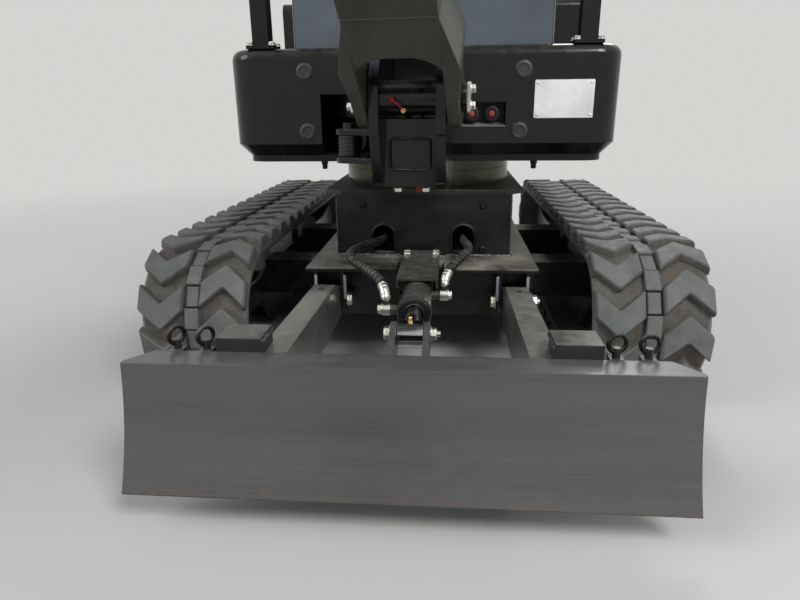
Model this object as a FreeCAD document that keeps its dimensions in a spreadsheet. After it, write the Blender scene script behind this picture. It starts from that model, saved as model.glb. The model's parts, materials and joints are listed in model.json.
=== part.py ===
"""Mini excavator on rubber tracks, with a dozer blade, a swing boom and a four-post canopy.

Millimetres. +X is the machine's left, the boom points along -Y, +Z is up, the floor is z = 0.
Places are worked out from the slew axis as (x, forward, height), where forward runs along -Y.
At the end everything is moved along Y so that the origin lies under the middle of the machine.
"""
import FreeCAD, Part
import math
import os
import re
from FreeCAD import Vector

# alias, value in millimetres or degrees, what it is
SIZES = (
    ("fit_gap", 0.3, "clearance between curved faces that run on each other"),
    ("rod_gap", 0.6, "further clearance of a rod in its barrel"),
    ("side_gap", 1.5, "clearance beside a pivot's boss"),
    ("track_outside_width", 1300, "over both tracks, run out"),
    ("track_width", 255, "width of one track"),
    ("track_height", 374, "floor to the top of the upper run's lugs"),
    ("track_travel", 90, "how far each track slides in"),
    ("beam_hold", 114.5, "sliding beam inside the lower frame, tracks out"),
    ("belt_thickness", 24, "rubber belt without its lugs"),
    ("lug_height", 20, "lug above the belt"),
    ("lug_root", 60, "lug's length along the belt at its root"),
    ("lug_crest", 46, "lug's length along the belt at its crest"),
    ("lug_reach", 38, "how far a lug's middle points along the belt"),
    ("lug_pitches", 36, "lugs in one row round the belt"),
    ("rib_width", 34, "rib between the two rows of lugs, across the belt"),
    ("rib_height", 13, "rib above the belt"),
    ("row_gap", 3, "gap between the rib and a row of lugs"),
    ("bend_flats", 12, "flats of the belt's outside round each end"),
    ("idler_forward", 505, "idler axle ahead of the slew axis"),
    ("sprocket_back", 690, "sprocket axle behind the slew axis"),
    ("idler_width", 70, "idler wheel's rim"),
    ("belt_gap", 0.8, "idler's rim inside the belt"),
    ("axle_radius", 20, "idler axle"),
    ("roller_radius", 38, "bottom roller"),
    ("carrier_radius", 30, "upper roller"),
    ("roller_shaft", 12, "roller shaft radius"),
    ("sprocket_teeth", 12, "teeth of the drive sprocket"),
    ("motor_radius", 78, "travel motor's case"),
    ("frame_cheek", 10, "side plate of a track frame"),
    ("frame_neck", 330, "track frame's narrow front end, ahead of the slew axis"),
    ("frame_tail", 560, "track frame's top edge, to its end behind the slew axis"),
    ("frame_width", 120, "track frame over its side plates"),
    ("cross_beam", 100, "sliding beam, square"),
    ("slide_gap", 0.5, "clearance round a sliding beam"),
    ("beam_forward", 230, "middle of the front beam ahead of the slew axis"),
    ("beam_back", 230, "middle of the rear beam behind the slew axis"),
    ("frame_half_width", 295, "lower frame, half its width"),
    ("frame_front", 395, "lower frame's front face ahead of the slew axis"),
    ("frame_bottom", 140, "underside of the lower frame"),
    ("frame_top", 277, "top of the lower frame's walls"),
    ("base_plate", 8, "plate over the lower frame"),
    ("base_overhang", 70, "base plate ahead of the lower frame"),
    ("box_half_width", 240, "centre box, half its width"),
    ("box_front", 310, "centre box's front face ahead of the slew axis"),
    ("box_height", 170, "centre box above the base plate"),
    ("box_wall", 10, "walls of the centre box"),
    ("arch_half_width", 32, "half the width of a hose arch"),
    ("arch_spread", 110, "middle of a hose arch from the middle plane"),
    ("arch_sill", 8, "arch's sill above the base plate"),
    ("arch_height", 86, "arch's crown above the base plate"),
    ("top_plate_half", 270, "octagonal plate, half its width"),
    ("top_plate_front", 332, "octagonal plate's front edge ahead of the slew axis"),
    ("top_plate_corner", 48, "octagonal plate's cut corners"),
    ("top_plate", 12, "octagonal plate's thickness"),
    ("ring_radius", 250, "slew ring"),
    ("ring_bore", 190, "slew ring's bore radius"),
    ("ring_height", 84, "slew ring, both races"),
    ("ring_split", 0.4, "gap between the two races"),
    ("blade_width", 950, "dozer blade"),
    ("blade_height", 216, "blade's lower edge to its top lip"),
    ("blade_clear", 66, "blade's lower edge above the floor"),
    ("blade_forward", 1067, "blade's top bend ahead of the slew axis"),
    ("blade_lip", 57, "flat lip on top of the blade"),
    ("blade_rake", 59, "lower edge ahead of the top bend"),
    ("blade_hollow", 11, "how far the face is hollowed"),
    ("blade_plate", 10, "blade's plate"),
    ("bracket_inner", 250, "middle plane to the inner faces of the blade brackets"),
    ("bracket_width", 80, "blade brackets"),
    ("arm_pivot_forward", 440, "blade arm pivot ahead of the slew axis"),
    ("arm_pivot_height", 195, "blade arm pivot above the floor"),
    ("arm_spread", 239, "middle of a blade arm from the middle plane"),
    ("arm_bar", 54, "blade arm's width"),
    ("arm_pin", 12, "blade arm pivot pin radius"),
    ("lug_plate", 10, "plates that hold the blade arms"),
    ("blade_eye_forward", 870, "blade cylinder's rod eye ahead of the slew axis"),
    ("blade_eye_height", 268, "blade cylinder's rod eye above the floor"),
    ("blade_base_forward", 360, "blade cylinder's base pin ahead of the slew axis"),
    ("blade_base_height", 265, "blade cylinder's base pin above the floor"),
    ("blade_barrel", 35, "blade cylinder's barrel radius"),
    ("blade_rod", 17.5, "blade cylinder's rod radius"),
    ("blade_bore", 50, "blade cylinder's base pin to the bottom of its bore"),
    ("blade_gland", 390, "blade cylinder's base pin to its gland"),
    ("guard_length", 280, "guard plate over the blade cylinder"),
    ("guard_half", 48, "guard plate, half its width"),
    ("hose_radius", 9, "blade cylinder's hoses"),
    ("deck_plate", 16, "bottom plate of the upper frame"),
    ("deck_front", 430, "front panel's face ahead of the slew axis"),
    ("deck_half_width", 475, "upper frame and panels, half their width"),
    ("deck_corner", 68, "front panel's upright corners"),
    ("deck_cut", 28, "chamfer under the front panel"),
    ("nose_top", 818, "top of the front panel above the floor"),
    ("nose_depth", 200, "front panel's housing, front to back"),
    ("nose_rounding", 26, "rounding along the front panel's top edge"),
    ("panel_wall", 6, "front panel's wall"),
    ("panel_rim", 50, "rim of the front panel's open floor"),
    ("sheet_wall", 5, "side, floor and hood panels"),
    ("floor_rise", 93, "operator's floor above the bottom plate"),
    ("hood_front", 150, "seat box's front behind the slew axis"),
    ("hood_step", 590, "end of the seat box behind the slew axis"),
    ("hood_back", 800, "engine hood's back behind the slew axis"),
    ("seat_box_rise", 340, "top of the seat box above the floor"),
    ("louvres", 6, "louvre slots in each side of the hood"),
    ("louvre_rise", 100, "lowest louvre above the floor"),
    ("louvre_step", 38, "louvre spacing"),
    ("louvre_gap", 16, "louvre's height"),
    ("louvre_front", 330, "louvres' front end behind the slew axis"),
    ("louvre_back", 560, "louvres' back end behind the slew axis"),
    ("hood_rise", 130, "top of the engine hood above the seat box"),
    ("tail_radius", 875, "counterweight's outer radius about the slew axis"),
    ("weight_front", 625, "counterweight's front behind the slew axis"),
    ("weight_top", 880, "counterweight's top above the ground"),
    ("engine_length", 400, "engine block across the machine"),
    ("engine_depth", 330, "engine block front to back"),
    ("engine_height", 400, "engine block's height"),
    ("seat_width", 440, "seat"),
    ("seat_depth", 400, "seat cushion front to back"),
    ("cushion_thickness", 110, "seat cushion's thickness"),
    ("backrest_height", 430, "backrest above the cushion's top"),
    ("backrest_thickness", 90, "backrest's thickness"),
    ("lever_rise", 520, "travel levers' rods above the floor"),
    ("lever_gap", 70, "travel levers' feet behind the front housing"),
    ("console_width", 90, "side consoles"),
    ("console_height", 190, "side consoles above the seat box"),
    ("post_side", 40, "canopy posts, square"),
    ("post_spread", 388, "middle of a canopy post from the middle plane"),
    ("post_forward", 393, "front posts ahead of the slew axis"),
    ("post_back", 660, "rear posts behind the slew axis"),
    ("roof_under", 2230, "underside of the canopy roof above the ground"),
    ("roof_thickness", 60, "canopy roof"),
    ("roof_half_width", 460, "canopy roof, half its width"),
    ("roof_front", 520, "canopy roof's front ahead of the slew axis"),
    ("roof_back", 720, "canopy roof's back behind the slew axis"),
    ("shield_half_width", 310, "front shield between the posts, half its width"),
    ("shield_top", 1290, "front shield's top above the ground"),
    ("shield_fold", 60, "front shield's side folds"),
    ("kingpin_forward", 580, "boom swing kingpin ahead of the slew axis"),
    ("kingpin_radius", 22, "boom swing kingpin"),
    ("knuckle_radius", 45, "knuckles round the kingpin"),
    ("knuckle_low", 570, "gap between lower knuckle and nose"),
    ("knuckle_high", 660, "gap between nose and upper knuckle"),
    ("post_bottom", 517, "underside of the swing post"),
    ("cheek_inside", 57, "swing post's cheeks, middle plane to inner face"),
    ("cheek_plate", 20, "swing post's cheek plates"),
    ("foot_forward", 680, "boom foot pin ahead of the slew axis"),
    ("foot_height", 700, "boom foot pin above the floor"),
    ("foot_boss", 34, "boom foot boss radius"),
    ("foot_pin", 20, "boom foot pin radius"),
    ("boom_base_back", 95, "boom cylinder's base pin behind the foot pin"),
    ("boom_base_up", 135, "boom cylinder's base pin above the foot pin"),
    ("swing_arm", 150, "swing cylinder's eye right of the kingpin"),
    ("swing_arm_forward", 15, "swing cylinder's eye ahead of the kingpin"),
    ("swing_height", 602, "swing cylinder's middle above the floor"),
    ("swing_base_side", 210, "swing cylinder's base right of the middle plane"),
    ("swing_base_forward", 20, "swing cylinder's base ahead of the slew axis"),
    ("swing_barrel", 30, "swing cylinder's barrel radius"),
    ("swing_rod", 15, "swing cylinder's rod radius"),
    ("swing_eye_height", 44, "swing cylinder's eye, along its pin"),
    ("boom_length", 1850, "boom, foot pin to tip pin"),
    ("boom_angle", 22, "boom's pin line above level, parked"),
    ("boom_knee_along", 750, "boom's knee along the pin line"),
    ("boom_knee_up", 330, "boom's knee above the pin line"),
    ("boom_half_width", 82, "boom, half its width"),
    ("ear_plate", 24, "boom's foot ears"),
    ("ear_flare", 9, "bulge of a foot ear between its pin and the boom's box"),
    ("arch_along", 149, "crown of the arch between the ears, from the foot pin"),
    ("crease_along", 225, "where the ears run into the box, from the foot pin"),
    ("parked_swing", 6, "degrees that the boom is parked to the machine's right"),
    ("boom_eye_along", 508, "boom cylinder's eye along the pin line"),
    ("boom_eye_up", 459, "boom cylinder's eye above the pin line"),
    ("boom_barrel", 38, "boom cylinder's barrel radius"),
    ("boom_rod", 20, "boom cylinder's rod radius"),
    ("arm_base_along", 1050, "arm cylinder's base along the pin line"),
    ("arm_base_up", 464, "arm cylinder's base above the pin line"),
    ("arm_length", 1000, "arm, tip pin to bucket pin"),
    ("arm_angle", -72, "arm's pin line above level, parked"),
    ("arm_half_width", 45, "arm, half its width"),
    ("horn_length", 220, "arm's rear horn, tip pin to cylinder eye"),
    ("horn_angle", 160, "arm's rear horn from the arm's pin line"),
    ("arm_barrel", 38, "arm cylinder's barrel radius"),
    ("arm_rod", 20, "arm cylinder's rod radius"),
    ("bucket_base_along", 170, "bucket cylinder's base along the arm"),
    ("bucket_base_up", 150, "bucket cylinder's base off the arm's pin line"),
    ("bucket_barrel", 33, "bucket cylinder's barrel radius"),
    ("bucket_rod", 17.5, "bucket cylinder's rod radius"),
    ("rocker_back", 144, "rocker's pin behind the bucket pin"),
    ("rocker_up", 37, "rocker's pin off the arm's pin line"),
    ("rocker_length", 191, "rocker, pin to pin"),
    ("link_length", 213, "bucket link, pin to pin"),
    ("bucket_ear", 127, "bucket pin to link pin"),
    ("bucket_ear_angle", 116, "link pin's direction from the line to the teeth"),
    ("bucket_angle", -63, "line to the teeth from the arm's pin line, parked"),
    ("bucket_radius", 460, "bucket pin to the teeth's tips"),
    ("bucket_mouth", 426, "bucket pin to the cutting lip"),
    ("bucket_lip_angle", 11.3, "lip's direction from the line to the teeth"),
    ("bucket_depth", 340, "back of the bucket off the line to the teeth"),
    ("tooth_width", 42, "bucket tooth"),
    ("tooth_count", 4, "bucket teeth"),
    ("bucket_width", 400, "bucket"),
    ("bucket_shell", 8, "bucket's wrapper plate"),
    ("bucket_cheek", 12, "bucket's side plates"),
    ("work_pin", 15, "pins of the bucket linkage"),
    ("eye_radius", 30, "eyes of the working cylinders"),
    ("eye_half_width", 30, "eyes of the working cylinders, half their width"),
    ("eye_lug", 12, "plates beside the working cylinders' eyes"),
)

# joint ranges in degrees from the parked pose, counted as the joints turn
BOOM_LOWER, BOOM_RAISE = 68, 40
ARM_OUT, ARM_IN = 63, 51
BUCKET_DUMP, BUCKET_CURL = 85, 85
BLADE_LOWER, BLADE_RAISE = 25, 24
SWING_RIGHT, SWING_LEFT = 50, 60

doc = FreeCAD.newDocument("mini_excavator")
subparts = []


class Sizes:
    """The spreadsheet's values, read by their aliases."""

    def __init__(self):
        self.sheet = doc.addObject("Spreadsheet::Sheet", "Sizes")
        for row, (alias, value, meaning) in enumerate(SIZES, 1):
            self.sheet.set("A%d" % row, meaning)
            self.sheet.set("B%d" % row, str(value))
            self.sheet.setAlias("B%d" % row, alias)
        doc.recompute()

    def __getattr__(self, alias):
        return float(self.sheet.get(alias))


size = Sizes()


def bind(thing, field, formula):
    """Tie one property to the sheet; the formula's words are aliases."""
    thing.setExpression(field, re.sub(r"([a-z]+(?:_[a-z]+)+)", r"Sizes.\1", formula))


def place(x, forward, height):
    return Vector(x, -forward, height)


def turned(origin, degrees, along, up):
    """A point given along and off a line that leaves origin at an angle, in the side view."""
    cosine = math.cos(math.radians(degrees))
    sine = math.sin(math.radians(degrees))
    return (origin[0] + along * cosine - up * sine, origin[1] + along * sine + up * cosine)


def turned_outline(origin, degrees, points):
    """The same for an outline whose points may carry a corner radius."""
    return [turned(origin, degrees, p[0], p[1]) + tuple(p[2:]) for p in points]


def crossing(a, b, c, d):
    """Where the line through a and b meets the line through c and d."""
    run = (b[0] - a[0], b[1] - a[1])
    other = (d[0] - c[0], d[1] - c[1])
    turn = run[0] * other[1] - run[1] * other[0]
    share = ((c[0] - a[0]) * other[1] - (c[1] - a[1]) * other[0]) / turn
    return (a[0] + share * run[0], a[1] + share * run[1])


def inset(points, walls):
    """An outline moved inwards; wall number n belongs to the side that starts at point n."""
    count = len(points)
    area = sum(points[i - 1][0] * points[i][1] - points[i][0] * points[i - 1][1] for i in range(count))
    way = 1 if area > 0 else -1
    sides = []
    for index, wall in enumerate(walls):
        a, b = points[index], points[(index + 1) % count]
        length = math.hypot(b[0] - a[0], b[1] - a[1])
        shift_x = -way * (b[1] - a[1]) / length * wall
        shift_y = way * (b[0] - a[0]) / length * wall
        sides.append(((a[0] + shift_x, a[1] + shift_y), (b[0] + shift_x, b[1] + shift_y)))
    moved = []
    for index, point in enumerate(points):
        spot = crossing(*sides[index - 1], *sides[index])
        radius = point[2] if len(point) > 2 else 0
        moved.append(spot + ((max(radius - walls[index], 1),) if radius else ()))
    return moved


def corner_arcs(points):
    """Start, middle and end of each corner; a sharp corner has no middle."""
    corners = []
    for index, point in enumerate(points):
        here = Vector(point[0], point[1], 0)
        radius = point[2] if len(point) > 2 else 0
        if not radius:
            corners.append((here, None, here))
            continue
        before = Vector(points[index - 1][0], points[index - 1][1], 0).sub(here).normalize()
        following = points[(index + 1) % len(points)]
        after = Vector(following[0], following[1], 0).sub(here).normalize()
        half = before.getAngle(after) / 2
        reach = radius / math.tan(half)
        bisector = before.add(after).normalize()
        middle = here + bisector * (radius / math.sin(half) - radius)
        corners.append((here + before * reach, middle, here + after * reach))
    return corners


def outline_curves(points):
    """Line segments and arcs round an outline, in its own plane."""
    corners = corner_arcs(points)
    curves = []
    for index, (start, middle, end) in enumerate(corners):
        if middle:
            curves.append(Part.Arc(start, middle, end))
        ahead = corners[(index + 1) % len(corners)][0]
        if ahead.distanceToPoint(end) > 1e-6:
            curves.append(Part.LineSegment(end, ahead))
    return curves


def face_of(curves, turn):
    wire = Part.Wire(Part.__sortEdges__([curve.toShape() for curve in curves]))
    wire.Placement = FreeCAD.Placement(turn)
    return Part.Face(wire)


SIDE_VIEW = FreeCAD.Matrix(0, 0, -1, 0, -1, 0, 0, 0, 0, 1, 0, 0, 0, 0, 0, 1)
FRONT_VIEW = FreeCAD.Matrix(1, 0, 0, 0, 0, 0, -1, 0, 0, 1, 0, 0, 0, 0, 0, 1)
PLAN_VIEW = FreeCAD.Matrix(1, 0, 0, 0, 0, -1, 0, 0, 0, 0, -1, 0, 0, 0, 0, 1)


def side_plate(points, x_from, x_to):
    """An outline in (forward, height), as thick as from one x to the other."""
    face = face_of(outline_curves(points), SIDE_VIEW)
    face.translate(Vector(x_from, 0, 0))
    return face.extrude(Vector(x_to - x_from, 0, 0))


def front_plate(points, from_forward, to_forward):
    """An outline in (x, height), as deep as from one forward place to the other."""
    face = face_of(outline_curves(points), FRONT_VIEW)
    face.translate(Vector(0, -from_forward, 0))
    return face.extrude(Vector(0, from_forward - to_forward, 0))


def level_plate(points, bottom, top):
    """An outline in (x, forward), from one height to the other."""
    face = face_of(outline_curves(points), PLAN_VIEW)
    face.translate(Vector(0, 0, bottom))
    return face.extrude(Vector(0, 0, top - bottom))


def block(x_from, x_to, from_forward, to_forward, bottom, top):
    low = Vector(min(x_from, x_to), -max(from_forward, to_forward), min(bottom, top))
    return Part.makeBox(abs(x_to - x_from), abs(to_forward - from_forward), abs(top - bottom), low)


def across(point, radius, x_from, x_to):
    """A round bar along X through a side-view point."""
    return Part.makeCylinder(radius, x_to - x_from, place(x_from, point[0], point[1]), Vector(1, 0, 0))


def upright(x, forward, radius, bottom, top):
    return Part.makeCylinder(radius, top - bottom, place(x, forward, bottom))


def fore_aft(x, height, radius, from_forward, to_forward):
    """A round bar that starts at from_forward and runs to a larger forward place."""
    start = place(x, from_forward, height)
    return Part.makeCylinder(radius, to_forward - from_forward, start, Vector(0, -1, 0))


def bar_between(start, end, radius):
    run = end.sub(start)
    return Part.makeCylinder(radius, run.Length, start, run)


def joined(shapes):
    if len(shapes) == 1:
        return shapes[0]
    return shapes[0].multiFuse(shapes[1:]).removeSplitter()


def both_sides(shape):
    """A shape and its mirror image across the middle plane."""
    return [shape, shape.mirror(Vector(0, 0, 0), Vector(1, 0, 0))]


def feature(label, shape):
    """A sub-part whose shape is worked out here from the sheet's values."""
    if isinstance(shape, (list, tuple)):
        shape = Part.makeCompound(list(shape))
    thing = doc.addObject("Part::Feature", label)
    thing.Label = label
    thing.Shape = shape
    subparts.append(thing)
    return thing


class PlateBody:
    """A PartDesign body made of sketched outlines, each as thick as one formula says."""

    def __init__(self, label):
        self.body = doc.addObject("PartDesign::Body", label)
        self.body.Label = label
        subparts.append(self.body)

    def sketch(self, plane, curves, lift):
        sketch = self.body.newObject("Sketcher::SketchObject", self.body.Name + "_outline")
        planes = [item for item in self.body.Origin.OriginFeatures if item.Role == plane]
        sketch.AttachmentSupport = [(planes[0], "")]
        sketch.MapMode = "FlatFace"
        sketch.AttachmentOffset = FreeCAD.Placement(Vector(0, 0, lift), FreeCAD.Rotation())
        for curve in curves:
            sketch.addGeometry(curve, False)
        return sketch

    def solid(self, kind, plane, curves, lift, thickness):
        item = self.body.newObject("PartDesign::" + kind, self.body.Name + "_" + kind.lower())
        item.Profile = self.sketch(plane, curves, lift)
        item.SideType = "Symmetric"
        bind(item, "Length", thickness)
        doc.recompute()
        return item

    def pad(self, plane, points, lift, thickness):
        return self.solid("Pad", plane, outline_curves(points), lift, thickness)

    def pocket(self, plane, points, lift, thickness):
        before = self.body.Shape.Volume
        item = self.solid("Pocket", plane, outline_curves(points), lift, thickness)
        if self.body.Shape.Volume >= before:
            raise RuntimeError("a pocket of %s cuts nothing" % self.body.Label)
        return item


# Places shared by several pieces

wheel_height = size.track_height / 2
belt_outer = wheel_height - size.lug_height
belt_inner = belt_outer - size.belt_thickness
track_middle = (size.track_outside_width - size.track_width) / 2
cheek_reach = size.frame_width / 2
idler = (size.idler_forward, wheel_height)
sprocket = (-size.sprocket_back, wheel_height)
base_top = size.frame_top + size.base_plate
box_top = base_top + size.box_height
ring_bottom = box_top + size.top_plate
deck_bottom = ring_bottom + size.ring_height
deck_top = deck_bottom + size.deck_plate
floor_top = deck_top + size.floor_rise
seat_top = floor_top + size.seat_box_rise
hood_top = seat_top + size.hood_rise
arm_pivot = (size.arm_pivot_forward, size.arm_pivot_height)
blade_top = size.blade_clear + size.blade_height
blade_base = (size.blade_base_forward, size.blade_base_height)
blade_eye = (size.blade_eye_forward, size.blade_eye_height)
foot = (size.foot_forward, size.foot_height)
boom_base = (foot[0] - size.boom_base_back, foot[1] + size.boom_base_up)
boom_tip = turned(foot, size.boom_angle, size.boom_length, 0)
boom_eye = turned(foot, size.boom_angle, size.boom_eye_along, size.boom_eye_up)
arm_base = turned(foot, size.boom_angle, size.arm_base_along, size.arm_base_up)
arm_eye = turned(boom_tip, size.arm_angle + size.horn_angle, size.horn_length, 0)
bucket_pin = turned(boom_tip, size.arm_angle, size.arm_length, 0)
bucket_base = turned(boom_tip, size.arm_angle, size.bucket_base_along, size.bucket_base_up)
rocker_pin = turned(boom_tip, size.arm_angle, size.arm_length - size.rocker_back, size.rocker_up)
bucket_line = size.arm_angle + size.bucket_angle
link_pin = turned(bucket_pin, bucket_line + size.bucket_ear_angle, size.bucket_ear, 0)
swing_eye = (-size.swing_arm, size.kingpin_forward + size.swing_arm_forward)
swing_base = (-size.swing_base_side, size.swing_base_forward)
kingpin = (0, size.kingpin_forward)


def distance(a, b):
    return math.hypot(a[0] - b[0], a[1] - b[1])


def heading(a, b):
    """Angle of the line from a to b, in degrees."""
    return math.degrees(math.atan2(b[1] - a[1], b[0] - a[0]))


def meeting(a, from_a, b, from_b):
    """Where circles about two points cross, left of the line from a to b."""
    span = distance(a, b)
    along = (span * span + from_a * from_a - from_b * from_b) / (2 * span)
    return turned(a, heading(a, b), along, math.sqrt(from_a * from_a - along * along))


linkage_pin = meeting(rocker_pin, size.rocker_length, link_pin, size.link_length)


def swung(point, pivot, degrees):
    """A side-view or plan-view point turned about a pivot."""
    return turned(pivot, degrees, point[0] - pivot[0], point[1] - pivot[1])


def linkage_at(turn):
    """The linkage's shared pin after the bucket turned by so many degrees."""
    ear = swung(link_pin, bucket_pin, turn)
    return meeting(rocker_pin, size.rocker_length, ear, size.link_length)


# Undercarriage

def belt_point(travel, radius):
    """A point of the track's loop, counted along the middle of the belt, and its outward angle."""
    pitch_radius = (belt_inner + belt_outer) / 2
    run = idler[0] - sprocket[0]
    bend = math.pi * pitch_radius
    travel = travel % (2 * run + 2 * bend)
    if travel < run:
        return (sprocket[0] + travel, wheel_height + radius)
    if travel < run + bend:
        angle = 90 - math.degrees((travel - run) / pitch_radius)
        return turned(idler, angle, radius, 0)
    if travel < 2 * run + bend:
        return (idler[0] - (travel - run - bend), wheel_height - radius)
    angle = -90 - math.degrees((travel - 2 * run - bend) / pitch_radius)
    return turned(sprocket, angle, radius, 0)


def lug_outline(middle):
    root = belt_outer - 4
    crest = belt_outer + size.lug_height
    stations = ((-size.lug_root / 2, root), (-size.lug_crest / 2, crest),
                (size.lug_crest / 2, crest), (size.lug_root / 2, root))
    return [belt_point(middle + along, radius) for along, radius in stations]


def flat_face(points):
    return Part.Face(Part.makePolygon(points + points[:1]))


def chevron(x_from, x_to, middle, reach):
    """A lug across one row, bent to point along the belt at its own middle."""
    stations = ((x_from, -reach / 2), ((x_from + x_to) / 2, reach / 2), (x_to, -reach / 2))
    rings = [[place(x, *point) for point in lug_outline(middle + ahead)] for x, ahead in stations]
    faces = [flat_face(rings[0]), flat_face(rings[2])]
    for near, far in zip(rings, rings[1:]):
        for index in range(4):
            after = (index + 1) % 4
            faces.append(flat_face([near[index], near[after], far[after]]))
            faces.append(flat_face([near[index], far[after], far[index]]))
    return Part.Solid(Part.Shell(faces))


def stadium(radius):
    """The loop's outline at one radius: two straight runs and two half rounds."""
    high = wheel_height + radius
    low = wheel_height - radius
    far = (idler[0] + radius, wheel_height)
    near = (sprocket[0] - radius, wheel_height)
    point = [Vector(p[0], p[1], 0) for p in
             ((sprocket[0], high), (idler[0], high), far, (idler[0], low), (sprocket[0], low), near)]
    return [Part.LineSegment(point[0], point[1]), Part.Arc(point[1], point[2], point[3]),
            Part.LineSegment(point[3], point[4]), Part.Arc(point[4], point[5], point[0])]


def flats(radius):
    """The loop's outline with flats round the idler and the sprocket, as its lugs leave them."""
    points = []
    for axle, first in ((idler, 90), (sprocket, -90)):
        for step in range(int(size.bend_flats) + 1):
            points.append(turned(axle, first - 180 * step / size.bend_flats, radius, 0))
    return points


def track_shape():
    """Belt and middle rib with a row of chevron lugs on each side, half a pitch apart."""
    half = size.track_width / 2
    bore = face_of(stadium(belt_inner), SIDE_VIEW)
    bore.translate(Vector(-half - 1, 0, 0))
    belt = side_plate(flats(belt_outer), -half, half).cut(bore.extrude(Vector(size.track_width + 2, 0, 0)))
    rib = side_plate(flats(belt_outer + size.rib_height), -size.rib_width / 2, size.rib_width / 2)
    rib = rib.cut(side_plate(flats(belt_outer - 4), -half, half))
    pitch_radius = (belt_inner + belt_outer) / 2
    length = 2 * (idler[0] - sprocket[0]) + 2 * math.pi * pitch_radius
    pitch = length / size.lug_pitches
    side_row = size.rib_width / 2 + size.row_gap
    lugs = [rib]
    for count in range(int(size.lug_pitches)):
        lugs.append(chevron(-half, -side_row, count * pitch, size.lug_reach))
        lugs.append(chevron(side_row, half, (count + 0.5) * pitch, -size.lug_reach))
    return belt.multiFuse(lugs).removeSplitter()


def track_frame_shape():
    """Side plates, the beam between them, the idler's axle and two cross beams; left side at x = 0."""
    top = wheel_height + 50
    low = wheel_height - 60
    roller = wheel_height - belt_inner + size.fit_gap + size.roller_radius
    neck = size.frame_neck
    shoulder = neck - 30
    tail = -size.frame_tail
    outline = [(idler[0] + 36, wheel_height - 34, 16), (idler[0] + 36, wheel_height + 34, 16),
               (neck, wheel_height + 34, 20), (shoulder, top, 20), (tail, top, 20),
               (sprocket[0] - 92, wheel_height + 92, 68), (sprocket[0] - 92, wheel_height - 92, 68),
               (tail + 20, roller - 24, 20), (neck - 80, roller - 24, 20), (neck, wheel_height - 34, 20)]
    reach = cheek_reach
    inner = reach - size.frame_cheek
    cheek = side_plate(outline, inner, reach)
    for forward in roller_stations():
        cheek = cheek.cut(across((forward, roller), size.roller_shaft + size.fit_gap, inner - 1, reach + 1))
    tab_top = wheel_height + belt_inner - size.carrier_radius + 16
    tab = block(inner, reach, carrier_forward() - 25, carrier_forward() + 25, top - 5, tab_top)
    carrier = (carrier_forward(), carrier_height())
    tab = tab.cut(across(carrier, size.roller_shaft + size.fit_gap, inner - 1, reach + 1))
    cheek = joined([cheek, tab])
    beam = block(-inner, inner, tail + 40, shoulder, low, top - 6)
    axle = across(idler, size.axle_radius, -inner, inner)
    pieces = [beam, axle] + both_sides(cheek)
    half = size.cross_beam / 2
    beam_end = size.frame_half_width - size.beam_hold - track_middle
    for forward in (size.beam_forward, -size.beam_back):
        pieces.append(block(beam_end, -reach, forward - half, forward + half,
                            beam_level() - half, beam_level() + half))
    return joined(pieces)


def beam_level():
    return (size.frame_bottom + size.frame_top) / 2 + 1.5


def roller_stations():
    gap = (idler[0] - sprocket[0]) / 5
    return [sprocket[0] + gap * count + gap / 2 for count in (1, 2, 3)]


def carrier_forward():
    return (idler[0] + sprocket[0]) / 2


def carrier_height():
    return wheel_height + belt_inner - size.fit_gap - size.carrier_radius


def wheel_shapes():
    """Idler, three bottom rollers and the carrier roller of one side, none touching another."""
    inner = cheek_reach - size.frame_cheek - size.fit_gap
    rim = across(idler, belt_inner - size.belt_gap, -size.idler_width / 2, size.idler_width / 2)
    hub = across(idler, 2 * size.axle_radius, -inner, inner)
    web = across(idler, belt_inner - 22, -size.idler_width / 2 + 18, size.idler_width / 2 - 18)
    dish = across(idler, belt_inner - 22, -size.idler_width / 2, size.idler_width / 2)
    wheel = joined([rim.cut(dish), web, hub])
    wheels = [wheel.cut(across(idler, size.axle_radius + size.fit_gap, -inner - 1, inner + 1))]
    height = wheel_height - belt_inner + size.fit_gap + size.roller_radius
    stations = [(forward, height, size.roller_radius) for forward in roller_stations()]
    stations.append((carrier_forward(), carrier_height(), size.carrier_radius))
    for forward, level, radius in stations:
        middle = (forward, level)
        barrel = across(middle, radius, -inner + 2, inner - 2)
        shaft = across(middle, size.roller_shaft, -cheek_reach, cheek_reach)
        wheels.append(joined([barrel, shaft]))
    return wheels


def sprocket_shape():
    """Travel motor and toothed ring, seated on the frame's inner side plate."""
    inner = cheek_reach - size.frame_cheek - size.fit_gap
    tip = belt_inner - 3
    root = tip - 16
    pieces = [across(sprocket, size.motor_radius, -inner, inner), across(sprocket, root, -18, 18)]
    for count in range(int(size.sprocket_teeth)):
        angle = 360 * count / size.sprocket_teeth
        tooth = [(root - 4, -15), (tip, -8), (tip, 8), (root - 4, 15)]
        pieces.append(side_plate(turned_outline(sprocket, angle, tooth), -18, 18))
    return joined(pieces)


def both_track_sides():
    makers = (("track", track_shape), ("track_frame", track_frame_shape),
              ("track_wheels", wheel_shapes), ("drive_sprocket", sprocket_shape))
    for name, maker in makers:
        made = maker()
        shape = Part.makeCompound(made) if isinstance(made, list) else made
        left = shape.copy()
        left.translate(Vector(track_middle, 0, 0))
        feature("left_" + name, left)
        feature("right_" + name, left.mirror(Vector(0, 0, 0), Vector(1, 0, 0)))


def arch_cut(x):
    half = size.arch_half_width
    sill = base_top + size.arch_sill
    crown = base_top + size.arch_height
    points = [(x - half, sill), (x + half, sill), (x + half, crown, half * 0.999),
              (x - half, crown, half * 0.999)]
    return front_plate(points, size.box_front - 2 * size.box_wall, size.box_front + size.box_wall)


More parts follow.
